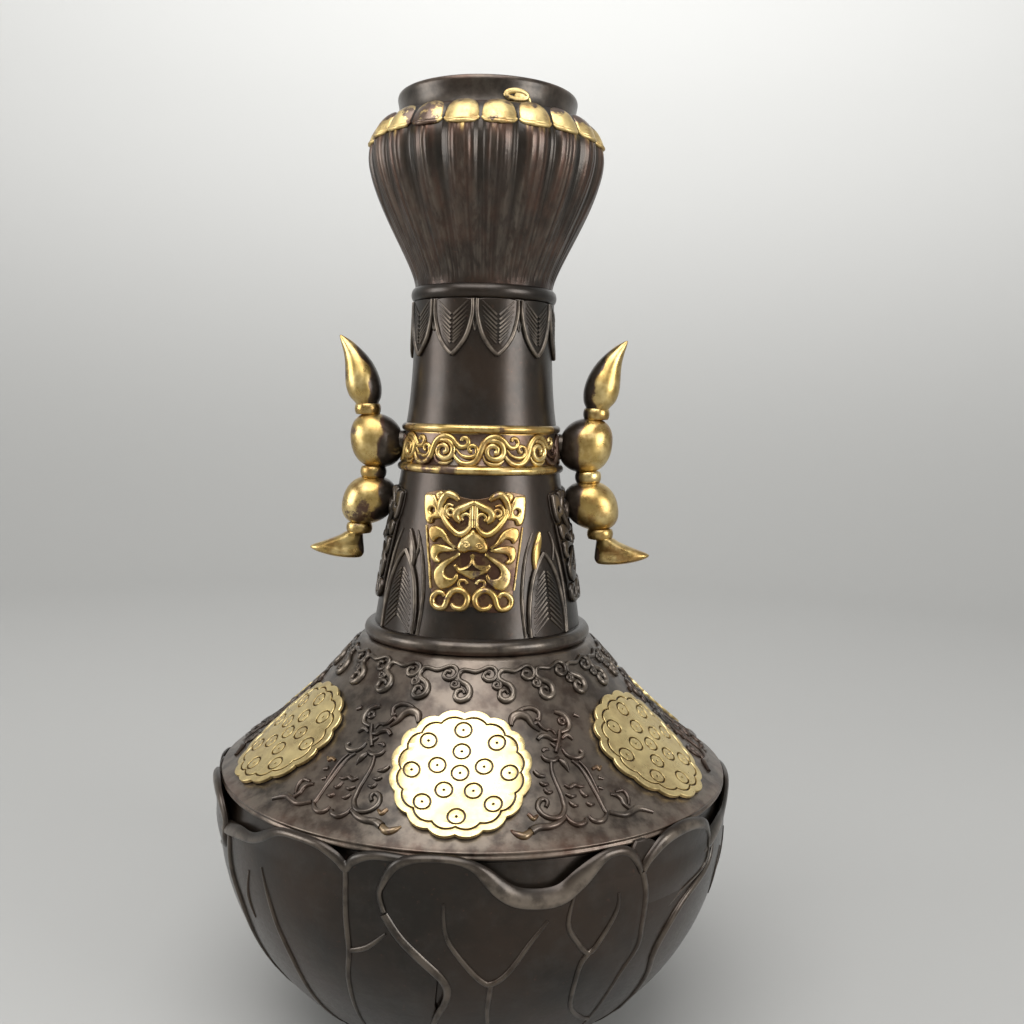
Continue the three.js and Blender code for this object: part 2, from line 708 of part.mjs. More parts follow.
// Rivets: headed inside the bore, with a plain shank through the wall into the bead
function rivetBody(boreRadius, height, shankEnd) {
  const headFace = Math.sqrt(boreRadius ** 2 - rivetHeadRadius ** 2) - clearance;
  const head = solidOf(crossBar(rivetHeadRadius, headFace - rivetHeadThickness, headFace, height));
  const shankStart = headFace - rivetHeadThickness / 2;
  const shank = solidOf(crossBar(rivetRadius, shankStart, shankEnd - clearance, height));
  return geometryOf(head.add(shank));
}

const lowerBore = lowerNeckBoreAt(lowerRivetHeight + rivetHeadRadius);
const upperRivet = rivetBody(neckBore, upperRivetHeight, upperHoleEnd);
const lowerRivet = rivetBody(lowerBore, lowerRivetHeight, lowerHoleEnd);
for (const [side, turn] of [['right', 0], ['left', Math.PI]]) {
  add(`handle_${side}`, handleBody.clone(), gilt).rotation.z = turn;
  add(`upper_rivet_${side}`, upperRivet.clone(), rivetBrass).rotation.z = turn;
  add(`lower_rivet_${side}`, lowerRivet.clone(), rivetBrass).rotation.z = turn;
}

export default named;
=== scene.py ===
import bisect
import math
import random

import bmesh
import bpy
from mathutils import Matrix, Vector, noise


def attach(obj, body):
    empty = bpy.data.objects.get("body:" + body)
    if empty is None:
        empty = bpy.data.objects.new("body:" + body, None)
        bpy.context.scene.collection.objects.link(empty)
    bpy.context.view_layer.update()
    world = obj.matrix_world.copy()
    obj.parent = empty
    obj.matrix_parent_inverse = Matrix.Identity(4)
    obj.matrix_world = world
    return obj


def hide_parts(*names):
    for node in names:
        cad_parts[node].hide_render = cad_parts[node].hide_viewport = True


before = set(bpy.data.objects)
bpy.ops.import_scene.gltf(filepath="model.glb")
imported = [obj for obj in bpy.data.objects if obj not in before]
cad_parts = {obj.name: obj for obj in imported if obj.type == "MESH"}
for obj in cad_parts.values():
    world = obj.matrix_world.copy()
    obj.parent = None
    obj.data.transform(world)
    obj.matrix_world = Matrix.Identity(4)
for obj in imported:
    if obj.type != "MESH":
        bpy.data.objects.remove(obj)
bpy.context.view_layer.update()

random.seed(11)
millimetre = 0.001


def mix(first, second, share):
    return first + (second - first) * share


def easeStep(low, high, value):
    share = min(1, max(0, (value - low) / (high - low)))
    return share * share * (3 - 2 * share)


def onAxis(azimuth, radius, height):        # azimuth 0 is the front, +90 the right handle
    turn = math.radians(azimuth)
    return Vector((radius * math.sin(turn), -radius * math.cos(turn), height)) * millimetre


def azimuthOf(spot):
    return math.degrees(math.atan2(spot.x, -spot.y))


print("camera and light")

cameraSetting = {
    "distance": 355,        # from the vase's axis, millimetres
    "height": 202,
    "azimuth": 3.5,
    "lens": 37.9,
    "pan": 1.725,           # to the right
    "pitch": 5.41,          # down
    "roll": 1.35,
}


def makeCamera(setting):
    data = bpy.data.cameras.new("camera")
    data.lens = setting["lens"]
    data.sensor_width = 36
    data.clip_start = 0.01
    camera = bpy.data.objects.new("camera", data)
    bpy.context.scene.collection.objects.link(camera)
    camera.location = onAxis(setting["azimuth"], setting["distance"], setting["height"])
    heading = Matrix.Rotation(math.radians(setting["azimuth"] - setting["pan"]), 4, "Z")
    tilt = Matrix.Rotation(math.radians(90 - setting["pitch"]), 4, "X")
    lean = Matrix.Rotation(math.radians(setting["roll"]), 4, "Z")
    camera.rotation_euler = (heading @ tilt @ lean).to_euler()
    bpy.context.scene.camera = camera


makeCamera(cameraSetting)

lightSetting = {        # place, aim, size in metres, watts
    "overhead": ((-0.1, -0.5, 1.1), (0, 0, 0.12), 1.0, 17),
    "leftWindow": ((-1.05, -0.3, 0.42), (0, 0, 0.17), 0.55, 6.5),
    "rightWindow": ((0.95, -0.62, 0.42), (0, 0, 0.17), 0.55, 9),
    "wallWash": ((0, 0.8, 1.4), (0, 1.6, 0.9), 0.9, 9.5),
}


def makeLight(name, place, aim, size, watts):
    data = bpy.data.lights.new(name, "AREA")
    data.energy = watts
    data.size = size
    light = bpy.data.objects.new(name, data)
    light.location = place
    light.rotation_euler = (Vector(aim) - light.location).to_track_quat("-Z", "Y").to_euler()
    bpy.context.scene.collection.objects.link(light)


for name, setting in lightSetting.items():
    makeLight(name, *setting)

studio = {
    "air": (0.5, 0.5, 0.51),
    # painted shade at the floor grading into painted light up the wall
    "paperLowPaintedShade": (0.32, 0.318, 0.307),
    "paperHighPaintedLight": (0.63, 0.63, 0.615),
    "floorReach": 0.9,          # where the floor begins to rise into the wall all round
    "curve": 0.75,              # radius of that bend
    "paintedLightTop": 0.9,              # height at which the painted light on the wall is brightest
    "wallTop": 1.5,
}


def makeAir(colour):
    world = bpy.data.worlds.new("studioAir")
    bpy.context.scene.world = world
    world.use_nodes = True
    world.node_tree.nodes["Background"].inputs["Color"].default_value = (*colour, 1)


makeAir(studio["air"])
bpy.context.scene.view_settings.view_transform = "Standard"


print("finishes")


class Finish:       # one material and its nodes
    def __init__(self, name):
        self.material = bpy.data.materials.new(name)
        self.material.use_nodes = True
        self.nodes = self.material.node_tree.nodes
        self.links = self.material.node_tree.links
        self.shader = self.nodes["Principled BSDF"]
        self.place = self.nodes.new("ShaderNodeTexCoord").outputs["Object"]

    def set(self, name, value):     # colour, number or socket for one of the shader's inputs
        self.put(self.shader.inputs[name], value)

    def put(self, socket, value):
        if isinstance(value, bpy.types.NodeSocket):
            self.links.new(value, socket)
        elif isinstance(value, tuple):
            socket.default_value = (*value, 1)
        else:
            socket.default_value = value

    def noise(self, scale, detail=4, rough=0.6, stretch=None):
        node = self.nodes.new("ShaderNodeTexNoise")
        place = self.place
        if stretch:
            mapping = self.nodes.new("ShaderNodeMapping")
            mapping.inputs["Scale"].default_value = stretch
            self.links.new(place, mapping.inputs["Vector"])
            place = mapping.outputs["Vector"]
        self.links.new(place, node.inputs["Vector"])
        node.inputs["Scale"].default_value = scale
        node.inputs["Detail"].default_value = detail
        node.inputs["Roughness"].default_value = rough
        return node.outputs["Fac"]

    def range(self, value, low, high, toLow=0.0, toHigh=1.0):
        node = self.nodes.new("ShaderNodeMapRange")
        node.interpolation_type = "SMOOTHSTEP"
        self.put(node.inputs["Value"], value)
        for name, number in (("From Min", low), ("From Max", high), ("To Min", toLow), ("To Max", toHigh)):
            node.inputs[name].default_value = number
        return node.outputs["Result"]

    def soft(self, scale, detail, rough, low, high, toLow=0.0, toHigh=1.0):
        return self.range(self.noise(scale, detail, rough), low, high, toLow, toHigh)

    def math(self, kind, first, second):
        node = self.nodes.new("ShaderNodeMath")
        node.operation = kind
        node.use_clamp = True
        self.put(node.inputs[0], first)
        self.put(node.inputs[1], second)
        return node.outputs[0]

    def blend(self, share, first, second, kind="RGBA"):
        node = self.nodes.new("ShaderNodeMix")
        node.data_type = kind
        ends, result = ((6, 7), 2) if kind == "RGBA" else ((2, 3), 0)
        self.put(node.inputs[0], share)
        self.put(node.inputs[ends[0]], first)
        self.put(node.inputs[ends[1]], second)
        return node.outputs[result]

    def height(self):
        node = self.nodes.new("ShaderNodeSeparateXYZ")
        self.links.new(self.place, node.inputs[0])
        return node.outputs["Z"]

    def attribute(self, name):
        node = self.nodes.new("ShaderNodeAttribute")
        node.attribute_name = name
        return node.outputs["Fac"]

    def bump(self, height, distance, strength):
        node = self.nodes.new("ShaderNodeBump")
        node.inputs["Distance"].default_value = distance
        node.inputs["Strength"].default_value = strength
        self.links.new(height, node.inputs["Height"])
        self.links.new(node.outputs["Normal"], self.shader.inputs["Normal"])


patina = {
    "deep": (0.012, 0.009, 0.006),
    "brown": (0.028, 0.017, 0.010),
    "grey": (0.055, 0.050, 0.044),
    "copper": (0.110, 0.045, 0.025),
    "bole": (0.075, 0.026, 0.010),      # red-brown under rubbed leaf
    # rubbed bronze, also laid on as a painted sheen
    "wornAndSheen": (0.22, 0.18, 0.14),
    "gold": (0.415, 0.286, 0.092),
    "paleGold": (0.80, 0.65, 0.32),
    "oldGold": (0.24, 0.115, 0.03),
    "metal": 0.7,
}


def castMetal(name, rub, clean=0.0, streaks=False, dull=0.0):
    # bronze with a brown patina; the attribute "gilt" says where gold leaf lies, "wear" what is rubbed bright
    # and where a painted sheen lightens it, and "tint" where the patina is thin and coppery
    finish = Finish(name)
    along = (1, 1, 0.04) if streaks else None
    base = finish.blend(finish.soft(30, 5, 0.6, 0.35, 0.66), patina["deep"], patina["brown"])
    base = finish.blend(finish.soft(85, 6, 0.7, 0.45, 0.78, 0, 0.35), base, patina["grey"])
    clouds = finish.soft(60, 5, 0.65, 0.38, 0.68, 0.15, 0.9)
    base = finish.blend(finish.math("MULTIPLY", finish.attribute("tint"), clouds), base, patina["copper"])
    base = finish.blend(finish.soft(460, 3, 0.7, 0.63, 0.76, 0, 0.3), base, patina["copper"])
    leaf = finish.attribute("gilt")
    base = finish.blend(finish.range(leaf, 0.02, 0.3, 0, 0.7), base, patina["bole"])
    rubsAndSheen = finish.range(finish.noise(520 if streaks else 160, 4, 0.6, along), 0.34, 0.64, 0.1, 0.8)
    # the worn colour marks rubbed wear, and on the mouth rim's outer wall a painted sheen
    base = finish.blend(finish.math("MULTIPLY", finish.attribute("wear"), rubsAndSheen), base, patina["wornAndSheen"])
    rubbed = finish.math("MULTIPLY", finish.soft(74, 6, 0.68, 0.5, 0.68), rub)
    kept = finish.range(finish.math("SUBTRACT", leaf, rubbed), 0.18, 0.55)
    gold = finish.blend(finish.soft(130, 4, 0.6, 0.4, 0.66, 0, 0.55), patina["gold"], patina["paleGold"])
    gold = finish.blend(clean, gold, patina["paleGold"])
    gold = finish.blend(finish.soft(120, 6, 0.75, 0.42, 0.7, 0, 0.25 + 0.75 * rub), gold, patina["oldGold"])
    finish.set("Base Color", finish.blend(kept, base, gold))
    finish.set("Metallic", finish.range(kept, 0, 1, patina["metal"], 1))
    grain = finish.noise(900, 5, 0.7, along)
    roughBronze = finish.range(grain, 0.3, 0.7, 0.29, 0.37)
    roughGold = finish.soft(260, 4, 0.6, 0.3, 0.7, 0.25 + dull, 0.43 + dull)
    finish.set("Roughness", finish.blend(kept, roughBronze, roughGold, "FLOAT"))
    finish.set("Coat Weight", 0.25)
    finish.set("Coat Roughness", 0.26)
    skin = finish.math("ADD", finish.math("MULTIPLY", grain, 0.25), finish.noise(190, 3))
    finish.bump(skin, 0.0003, 0.7 if streaks else 0.2)
    return finish.material


darkBronze = castMetal("darkBronze", 0.7)
warmBronze = castMetal("warmBronze", 0.7)
streakedBronze = castMetal("streakedBronze", 0.7, streaks=True)
rubbedGilding = castMetal("rubbedGilding", 0.8)
dullGilding = castMetal("dullGilding", 0.9, clean=0.45, dull=0.16)
brightGilding = castMetal("brightGilding", 0.1, clean=0.7)


def rivetBrass():
    finish = Finish("dullBrass")
    shade = finish.soft(300, 5, 0.6, 0.35, 0.65)
    finish.set("Base Color", finish.blend(shade, (0.03, 0.021, 0.012), (0.09, 0.065, 0.035)))
    finish.set("Metallic", 1)
    finish.set("Roughness", 0.5)
    finish.bump(finish.noise(1500, 3), 0.0001, 0.3)
    return finish.material


def backdropPaintedGradient():
    finish = Finish("backdropPaintedLight")
    # painted light gradient: darker at the floor, paler up the wall, standing in for how the lamps' light falls
    # off
    rise = finish.range(finish.height(), 0, studio["paintedLightTop"])
    finish.set("Base Color", finish.blend(rise, studio["paperLowPaintedShade"], studio["paperHighPaintedLight"]))
    finish.set("Roughness", 0.8)
    return finish.material


dullBrass = rivetBrass()
for node in ("upper_rivet_right", "upper_rivet_left", "lower_rivet_right", "lower_rivet_left"):
    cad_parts[node].data.materials.clear()
    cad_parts[node].data.materials.append(dullBrass)


print("tools for turned work and relief")


def newLayers(work):        # attributes that castMetal reads
    return [work.verts.layers.float.new(name) for name in ("gilt", "wear", "tint")]


def spun(spots, steps, closed):
    work = bmesh.new()
    layers = newLayers(work)
    spots = [work.verts.new(spot) for spot in spots]
    pairs = list(zip(spots, spots[1:] + spots[:1] if closed else spots[1:]))
    edges = [work.edges.new(pair) for pair in pairs]
    bmesh.ops.spin(
        work, geom=spots + edges, cent=(0, 0, 0), axis=(0, 0, 1), dvec=(0, 0, 0), angle=math.tau,
        steps=steps, use_merge=True, use_normal_flip=False, use_duplicate=False,
    )
    bmesh.ops.remove_doubles(work, verts=work.verts, dist=1e-6)
    return work, layers


def finishPiece(work, name, metal, slotName, stands=(), crease=38):
    bmesh.ops.recalc_face_normals(work, faces=work.faces)
    mesh = bpy.data.meshes.new(name)
    work.to_mesh(mesh)
    work.free()
    mesh.shade_smooth()
    mesh.set_sharp_from_angle(angle=math.radians(crease))
    mesh.materials.append(metal)
    piece = bpy.data.objects.new(name, mesh)
    bpy.context.scene.collection.objects.link(piece)
    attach(piece, "root")
    if stands:
        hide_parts(*stands)
    return piece


def turnedPiece(name, outline, metal, slotName, stands, steps=160, closed=True, shape=None, crease=38):
    # outline lists (radius, height) in millimetres; shape may move a vertex and gives its gilt, its wear and
    # painted sheen, and its tint
    work, layers = spun([onAxis(0, radius, height) for radius, height in outline], steps, closed)
    if shape:
        for spot in work.verts:
            radius = math.hypot(spot.co.x, spot.co.y) / millimetre
            shaped = shape(azimuthOf(spot.co), radius, spot.co.z / millimetre)
            spot.co = shaped.get("place", spot.co)
            for layer in layers:
                spot[layer] = shaped.get(layer.name, 0)
    return finishPiece(work, name, metal, slotName, stands, crease)


def bend(controls, steps):      # points on the curve that the control points pull
    line = []
    for step in range(steps + 1):
        share = step / steps
        points = list(controls)
        while len(points) > 1:
            points = [(mix(a[0], b[0], share), mix(a[1], b[1], share)) for a, b in zip(points, points[1:])]
        line.append(points[0])
    return line


def halfRound(inner, outer, bottom, top, steps=10):
    half = (top - bottom) / 2
    bulge = min(half, outer - inner)
    points = []
    for step in range(steps + 1):
        angle = -math.pi / 2 + math.pi * step / steps
        points.append((outer - bulge + bulge * math.cos(angle), (top + bottom) / 2 + half * math.sin(angle)))
    return points


class SurfaceLine:      # an outline listed from its top down, walked by distance
    def __init__(self, points):
        self.points = points
        self.lengths = [0]
        for (r0, z0), (r1, z1) in zip(points, points[1:]):
            self.lengths.append(self.lengths[-1] + math.hypot(r1 - r0, z1 - z0))

    def at(self, distance):     # radius, height and the outward direction
        distance = min(max(distance, 0), self.lengths[-1] - 1e-6)
        number = max(1, bisect.bisect_right(self.lengths, distance))
        (r0, z0), (r1, z1) = self.points[number - 1], self.points[number]
        length = self.lengths[number] - self.lengths[number - 1]
        share = (distance - self.lengths[number - 1]) / length
        return mix(r0, r1, share), mix(z0, z1, share), (z0 - z1) / length, (r1 - r0) / length

    def down(self, height):     # distance at which the line passes a height
        for number in range(1, len(self.points)):
            z0, z1 = self.points[number - 1][1], self.points[number][1]
            if z1 <= height <= z0 and z0 > z1:
                return mix(self.lengths[number - 1], self.lengths[number], (z0 - height) / (z0 - z1))
        return self.lengths[-1]


def layOn(line, azimuth, start, side=1):
    # flat motif: across to the right, down along the line, lift off the surface
    def place(across, down, lift):
        radius, height, out, up = line.at(start + down)
        turn = azimuth + side * math.degrees(across / radius)
        return onAxis(turn, radius + lift * out, height + lift * up)
    return place


def throughPoints(before, first, second, after, share):     # curve from first to second
    slope = second - before
    bow = 2 * before - 5 * first + 4 * second - after
    twist = 3 * first - before - 3 * second + after
    return 0.5 * (2 * first + (slope + (bow + twist * share) * share) * share)


def smoothLine(points, closed, steps=4):
    count = len(points)
    line = []
    for span in range(count if closed else count - 1):
        if closed:
            a, b, c, d = (points[(span + shift) % count] for shift in (-1, 0, 1, 2))
        else:
            a, b, c, d = (points[min(max(span + shift, 0), count - 1)] for shift in (-1, 0, 1, 2))
        for step in range(steps):
            line.append(tuple(throughPoints(*ends, step / steps) for ends in zip(a, b, c, d)))
    if not closed:
        line.append(points[-1])
    return line


def stroke(points, widths, closed=False):
    # half widths spread evenly along the points
    spots = []
    for number, (across, down) in enumerate(points):
        place = number / max(1, len(points) - 1) * (len(widths) - 1)
        low = min(int(place), max(0, len(widths) - 2))
        half = widths[0] if len(widths) == 1 else mix(widths[low], widths[low + 1], place - low)
        spots.append((across, down, half))
    return {"line": smoothLine(spots, closed), "closed": closed}


def circle(across, down, radius, count=20, squash=1.0):
    turns = [math.tau * step / count for step in range(count)]
    return [(across + radius * math.cos(turn), down + squash * radius * math.sin(turn)) for turn in turns]


def ring(across, down, reach, half, squash=1.0):
    return stroke(circle(across, down, reach, 8, squash), [half], closed=True)


def spiral(across, down, reach, turns, start, half, tight=0.2):
    points = []
    count = round(8 * turns)
    for step in range(count + 1):
        angle = math.radians(start) + math.tau * turns * step / count
        now = reach * mix(1, tight, step / count)
        points.append((across + now * math.cos(angle), down + now * math.sin(angle)))
    return stroke(points, [half, half, half * 0.8])


def scaled(strokes, across=1, bold=1):
    copies = []
    for item in strokes:
        line = [(spot[0] * across, spot[1], spot[2] * bold) for spot in item["line"]]
        copies.append({**item, "line": line})
    return copies


def around(count, start=0):
    return [start + 360 * number / count for number in range(count)]


def curveMesh(curve):
    holder = bpy.data.objects.new("holder", curve)
    bpy.context.scene.collection.objects.link(holder)
    bpy.context.view_layer.update()
    graph = bpy.context.evaluated_depsgraph_get()
    mesh = bpy.data.meshes.new_from_object(holder.evaluated_get(graph))
    bpy.data.objects.remove(holder)
    return mesh


def strokeMesh(strokes, sides=2):
    curve = bpy.data.curves.new("strokes", "CURVE")
    curve.dimensions = "3D"
    curve.bevel_depth = 1
    curve.bevel_resolution = sides
    curve.use_fill_caps = True
    for item in strokes:
        spline = curve.splines.new("POLY")
        spline.points.add(len(item["line"]) - 1)
        for spot, (across, down, half) in zip(spline.points, item["line"]):
            spot.co = (across, down, 0, 1)
            spot.radius = max(half, 0.06)
        spline.use_cyclic_u = item["closed"]
    return curveMesh(curve)


def sweepMesh(spots, section):      # spots are (across, down, half width)
    line = smoothLine(spots, False, 6)
    count = len(line) - 1
    sides = len(section)
    work = bmesh.new()
    made = bmesh.ops.create_grid(work, x_segments=sides, y_segments=count, size=1)["verts"]
    for spot in made:
        row = round((spot.co.y + 1) / 2 * count)
        offset, lift = section[round((spot.co.x + 1) / 2 * sides) % sides]
        across, down, half = line[row]
        ahead, behind = line[min(row + 1, count)], line[max(row - 1, 0)]
        along = Vector((ahead[0] - behind[0], ahead[1] - behind[1])).normalized()
        if row in (0, count):
            offset = lift = 0
        height = lift * mix(0.62, 1.15, easeStep(0.6, 2, half))
        spot.co = (across + along.y * offset * half, down - along.x * offset * half, height)
    bmesh.ops.remove_doubles(work, verts=work.verts, dist=1e-5)
    mesh = bpy.data.meshes.new("sweep")
    work.to_mesh(mesh)
    work.free()
    return mesh


def plateMesh(outlines, thick, edge, cell):
    # flat plate with rounded edges, cut into cells so that it can bend
    curve = bpy.data.curves.new("plate", "CURVE")
    curve.dimensions = "2D"
    curve.fill_mode = "BOTH"
    curve.extrude = thick / 2 - edge
    curve.bevel_depth = edge
    curve.bevel_resolution = 2
    curve.offset = -edge
    for outline in outlines:
        spline = curve.splines.new("POLY")
        spline.points.add(len(outline) - 1)
        for spot, (across, down) in zip(spline.points, outline):
            spot.co = (across, down, 0, 1)
        spline.use_cyclic_u = True
    mesh = curveMesh(curve)
    work = bmesh.new()
    work.from_mesh(mesh)
    bmesh.ops.remove_doubles(work, verts=work.verts, dist=1e-4)
    for axis in (0, 1):
        low = min(spot.co[axis] for spot in work.verts)
        high = max(spot.co[axis] for spot in work.verts)
        count = max(1, round((high - low) / cell))
        for cut in range(1, count):
            spot = [0, 0, 0]
            facing = [0, 0, 0]
            spot[axis] = mix(low, high, cut / count)
            facing[axis] = 1
            whole = work.verts[:] + work.edges[:] + work.faces[:]
            bmesh.ops.bisect_plane(work, geom=whole, plane_co=spot, plane_no=facing, dist=1e-5)
    work.to_mesh(mesh)
    work.free()
    return mesh


def motif(mesh, places, lift=0, times=1, gilt=0, wear=0.5, tint=0):
    # flat mesh, where it goes, its lift and the factor on its height; gilt may be a function of across and down
    return dict(mesh=mesh, places=places, lift=lift, times=times, gilt=gilt, wear=wear, tint=tint)


def reliefPiece(name, motifs, metal, slotName, stands=(), crease=50):
    work = bmesh.new()
    giltLayer, wearAndSheenLayer, tintLayer = newLayers(work)
    for item in motifs:
        tall = max(spot.co.z for spot in item["mesh"].vertices)
        leaf = item["gilt"]
        for place in item["places"]:
            known = len(work.verts)
            work.from_mesh(item["mesh"])
            work.verts.ensure_lookup_table()
            for spot in work.verts[known:]:
                across, down, lift = spot.co
                spot[giltLayer] = leaf(across, down) if callable(leaf) else leaf
                spot[tintLayer] = item["tint"]
                spot[wearAndSheenLayer] = easeStep(0.25, 0.9, lift / tall) * item["wear"]
                spot.co = place(across, down, lift * item["times"] + item["lift"])
    bmesh.ops.remove_doubles(work, verts=work.verts, dist=1e-7)
    return finishPiece(work, name, metal, slotName, stands, crease)


print("foot and bowl")

level = {       # heights at which the castings meet, millimetres
    "foot": 7,
    "seam": 84,
    "collar": 127.5,
    "neckFoot": 132.5,
    "bandFoot": 181.8,
    "bandTop": 197.2,
    "neckTop": 235.7,
    "headFoot": 240.3,
    "mouth": 292,
    "top": 300,
}
spigot = {"depth": 5, "room": 0.3}      # how far each casting enters the next, and the room round it
neckBore = 18.5

foot = {"radius": 44, "inner": 38, "top": 44.8, "waist": 42.6, "edge": 0.5, "bevel": 0.4}
footOutline = [
    (foot["inner"], foot["bevel"]), (foot["inner"] + foot["bevel"], 0), (foot["radius"] - foot["edge"], 0),
]
footOutline += bend([(foot["radius"], foot["edge"]), (foot["radius"], 2.4), (foot["waist"], 3)], 6)
footOutline += bend([(foot["waist"], 3.4), (foot["waist"], 5.4), (foot["top"], 6.6)], 6)
footOutline += [(foot["top"], level["foot"]), (foot["inner"], level["foot"])]


def rubFoot(azimuth, radius, height):
    return {"wear": 0.5 * easeStep(2.5, 0, height)}


turnedPiece("footRing", footOutline, darkBronze, "dark_bronze", ["foot_ring"], shape=rubFoot)

bowl = {
    "core": 30,             # radius of the core hole that the disc closes
    "floor": 10.2,
    "footRadius": 45.2,
    "widest": 73,
    "radius": 83.6,
    "lowerDepth": 78.46,
    "upperDepth": 56.5,
    "rim": 81.4,
    "socket": 78.8,
    "ground": 1.3,          # ground under the leaves, inside the bowl's own line
    "pocket": 2.5,          # the same behind the lips
    "reach": 85.2,          # nothing on the bowl stands out further
    "flare": 1.5,           # how far the leaf tops lean out
    "stand": 3.0,           # and how far they stand up
    "degree": 1.42,         # millimetres of leaf pattern for one degree round the bowl
    "firstDip": 16.5,       # azimuth of the front leaf's dip
}
disc = {"hub": bowl["core"] - spigot["room"], "flange": 33.5, "top": 11.8, "edge": 0.3}
discOutline = [
    (0, level["foot"]), (disc["hub"] - disc["edge"], level["foot"]),
    (disc["hub"], level["foot"] + disc["edge"]), (disc["hub"], bowl["floor"]),
    (disc["flange"] - disc["edge"], bowl["floor"]),
    (disc["flange"], bowl["floor"] + disc["edge"]), (disc["flange"], disc["top"] - disc["edge"]),
    (disc["flange"] - disc["edge"], disc["top"]), (0, disc["top"]),
]
turnedPiece("baseDisc", discOutline, darkBronze, "dark_bronze", ["base_disc"], steps=96, closed=False)


def bowlRadius(height):
    depth = bowl["lowerDepth"] if height < bowl["widest"] else bowl["upperDepth"]
    return bowl["radius"] * math.sqrt(max(0, 1 - ((height - bowl["widest"]) / depth) ** 2))


def onBowl(dip, sink=0):       # sink draws the lower part of a lobe into the bowl
    def place(across, height, lift):
        depth = bowl["lowerDepth"] if height < bowl["widest"] else bowl["upperDepth"]
        radius = bowlRadius(height)
        facing = Vector((radius / bowl["radius"] ** 2, (height - bowl["widest"]) / depth ** 2)).normalized()
        high = easeStep(75.5, 82, height)
        lift -= sink * easeStep(73, 61, height)
        reach = min(bowl["reach"], radius + lift * facing.x + bowl["flare"] * high)
        return onAxis(dip + across / bowl["degree"], reach, height + lift * facing.y + bowl["stand"] * high)
    return place


bowlOutline = [
    (46.1, bowl["floor"]), (bowl["core"], bowl["floor"]), (bowl["core"], level["foot"]),
    (bowl["footRadius"], level["foot"]),
]
for step in range(1, 41):
    height = mix(level["foot"], level["seam"] - 1.4, step / 40)
    sunk = mix(bowl["ground"], bowl["pocket"], easeStep(68, 76, height)) * easeStep(7, 16, height)
    bowlOutline.append((bowlRadius(height) - sunk, height))
bowlOutline += [
    (bowl["rim"], level["seam"] - 0.4), (bowl["rim"], level["seam"]), (bowl["socket"], level["seam"]),
    (bowl["socket"], level["seam"] - 6), (78.6, 68), (78.3, 57.7), (73.5, 44), (66.5, 30.5), (57, 19),
]
turnedPiece("lotusBowl", bowlOutline, darkBronze, "dark_bronze", ["lotus_leaf_bowl"], steps=240)

# leaf outlines and lines: degrees from the leaf's dip, height in millimetres
overLeaf = {
    "outline": [
        (-30, 74.6), (-27.5, 79.4), (-23, 81.8), (-17, 82.3), (-13, 81.2), (-10, 79.4), (-6, 76.2),
        (-2, 75.2), (3, 75.5), (7, 78.8), (12, 81.6), (16, 81.6), (19, 79.4), (21, 76.3), (22, 70), (22, 60),
        (22, 53), (19, 43.8), (17, 27.9), (16, 17), (15, 8.4), (-22, 8.4), (-22.5, 20), (-21, 33.6),
        (-18, 43.3), (-18, 49.6), (-22, 56), (-26, 62), (-29, 68.5),
    ],
    "lip": [
        (-29, 68.5, 0.7), (-30, 74.6, 0.7), (-27.4, 79.6, 0.65), (-23, 81.9, 0.6), (-17, 82.2, 0.6),
        (-13, 80.9, 0.8), (-10, 78.6, 1.3), (-6, 75.1, 1.9), (-2, 73.8, 2.1), (3, 74.1, 2.1), (7, 77.2, 1.7),
        (12, 80.8, 0.9), (16, 81.1, 0.7), (19, 79.1, 0.65), (21, 76.0, 0.6),
    ],
    "edges": [
        [(-29, 68.5, 0.9), (-26, 62, 0.95), (-22, 56, 1.0), (-18, 49.6, 0.95), (-17.6, 43.3, 0.85),
         (-20.6, 33.6, 0.7), (-22.2, 22, 0.55), (-22.4, 9, 0.4)],
        [(21, 76, 0.8), (22, 70, 0.75), (22, 60, 0.7), (22, 53, 0.7), (19, 43.8, 0.65), (17, 27.9, 0.6),
         (15.5, 9, 0.4)],
    ],
    "veins": [
        [(-18, 73, 0.3), (-17.4, 63.6, 0.5), (-14, 55.6, 0.6), (-11, 50.5, 0.65), (-9, 49.2, 0.65),
         (-6, 52.5, 0.6), (-2, 61.7, 0.5), (1, 67.5, 0.3)],
        [(-9, 49.4, 0.65), (-9.4, 40, 0.6), (-9, 32, 0.55), (-9.6, 20, 0.45), (-9.6, 9, 0.3)],
        [(6, 74, 0.3), (5, 66, 0.55), (7.2, 60, 0.6), (10, 55.9, 0.65), (12.4, 60, 0.6), (15.2, 67.4, 0.5),
         (15.4, 72, 0.3)],
        [(10, 56, 0.65), (8.4, 51, 0.6), (8.8, 38, 0.6), (13, 31, 0.6), (17, 27.9, 0.5)],
    ],
}
leafLobe = {
    "outline": [
        (21, 76.3), (22.6, 78.6), (27.5, 81.9), (34, 82.6), (40, 80.9), (43.2, 78.2), (44, 75.6),
        (42.3, 68.2), (35.5, 64.9), (30, 61), (26, 58.5), (23.5, 61), (22, 66),
    ],
    "lip": [
        (21, 76, 0.6), (22.8, 78.4, 0.8), (27.5, 81.3, 1.2), (34, 82, 1.3), (40, 80.4, 1.0), (43.2, 78, 0.9),
        (44, 75.4, 0.75), (42.3, 68.2, 0.65), (35.5, 64.9, 0.6), (30, 61, 0.55), (26, 58.5, 0.4),
    ],
}
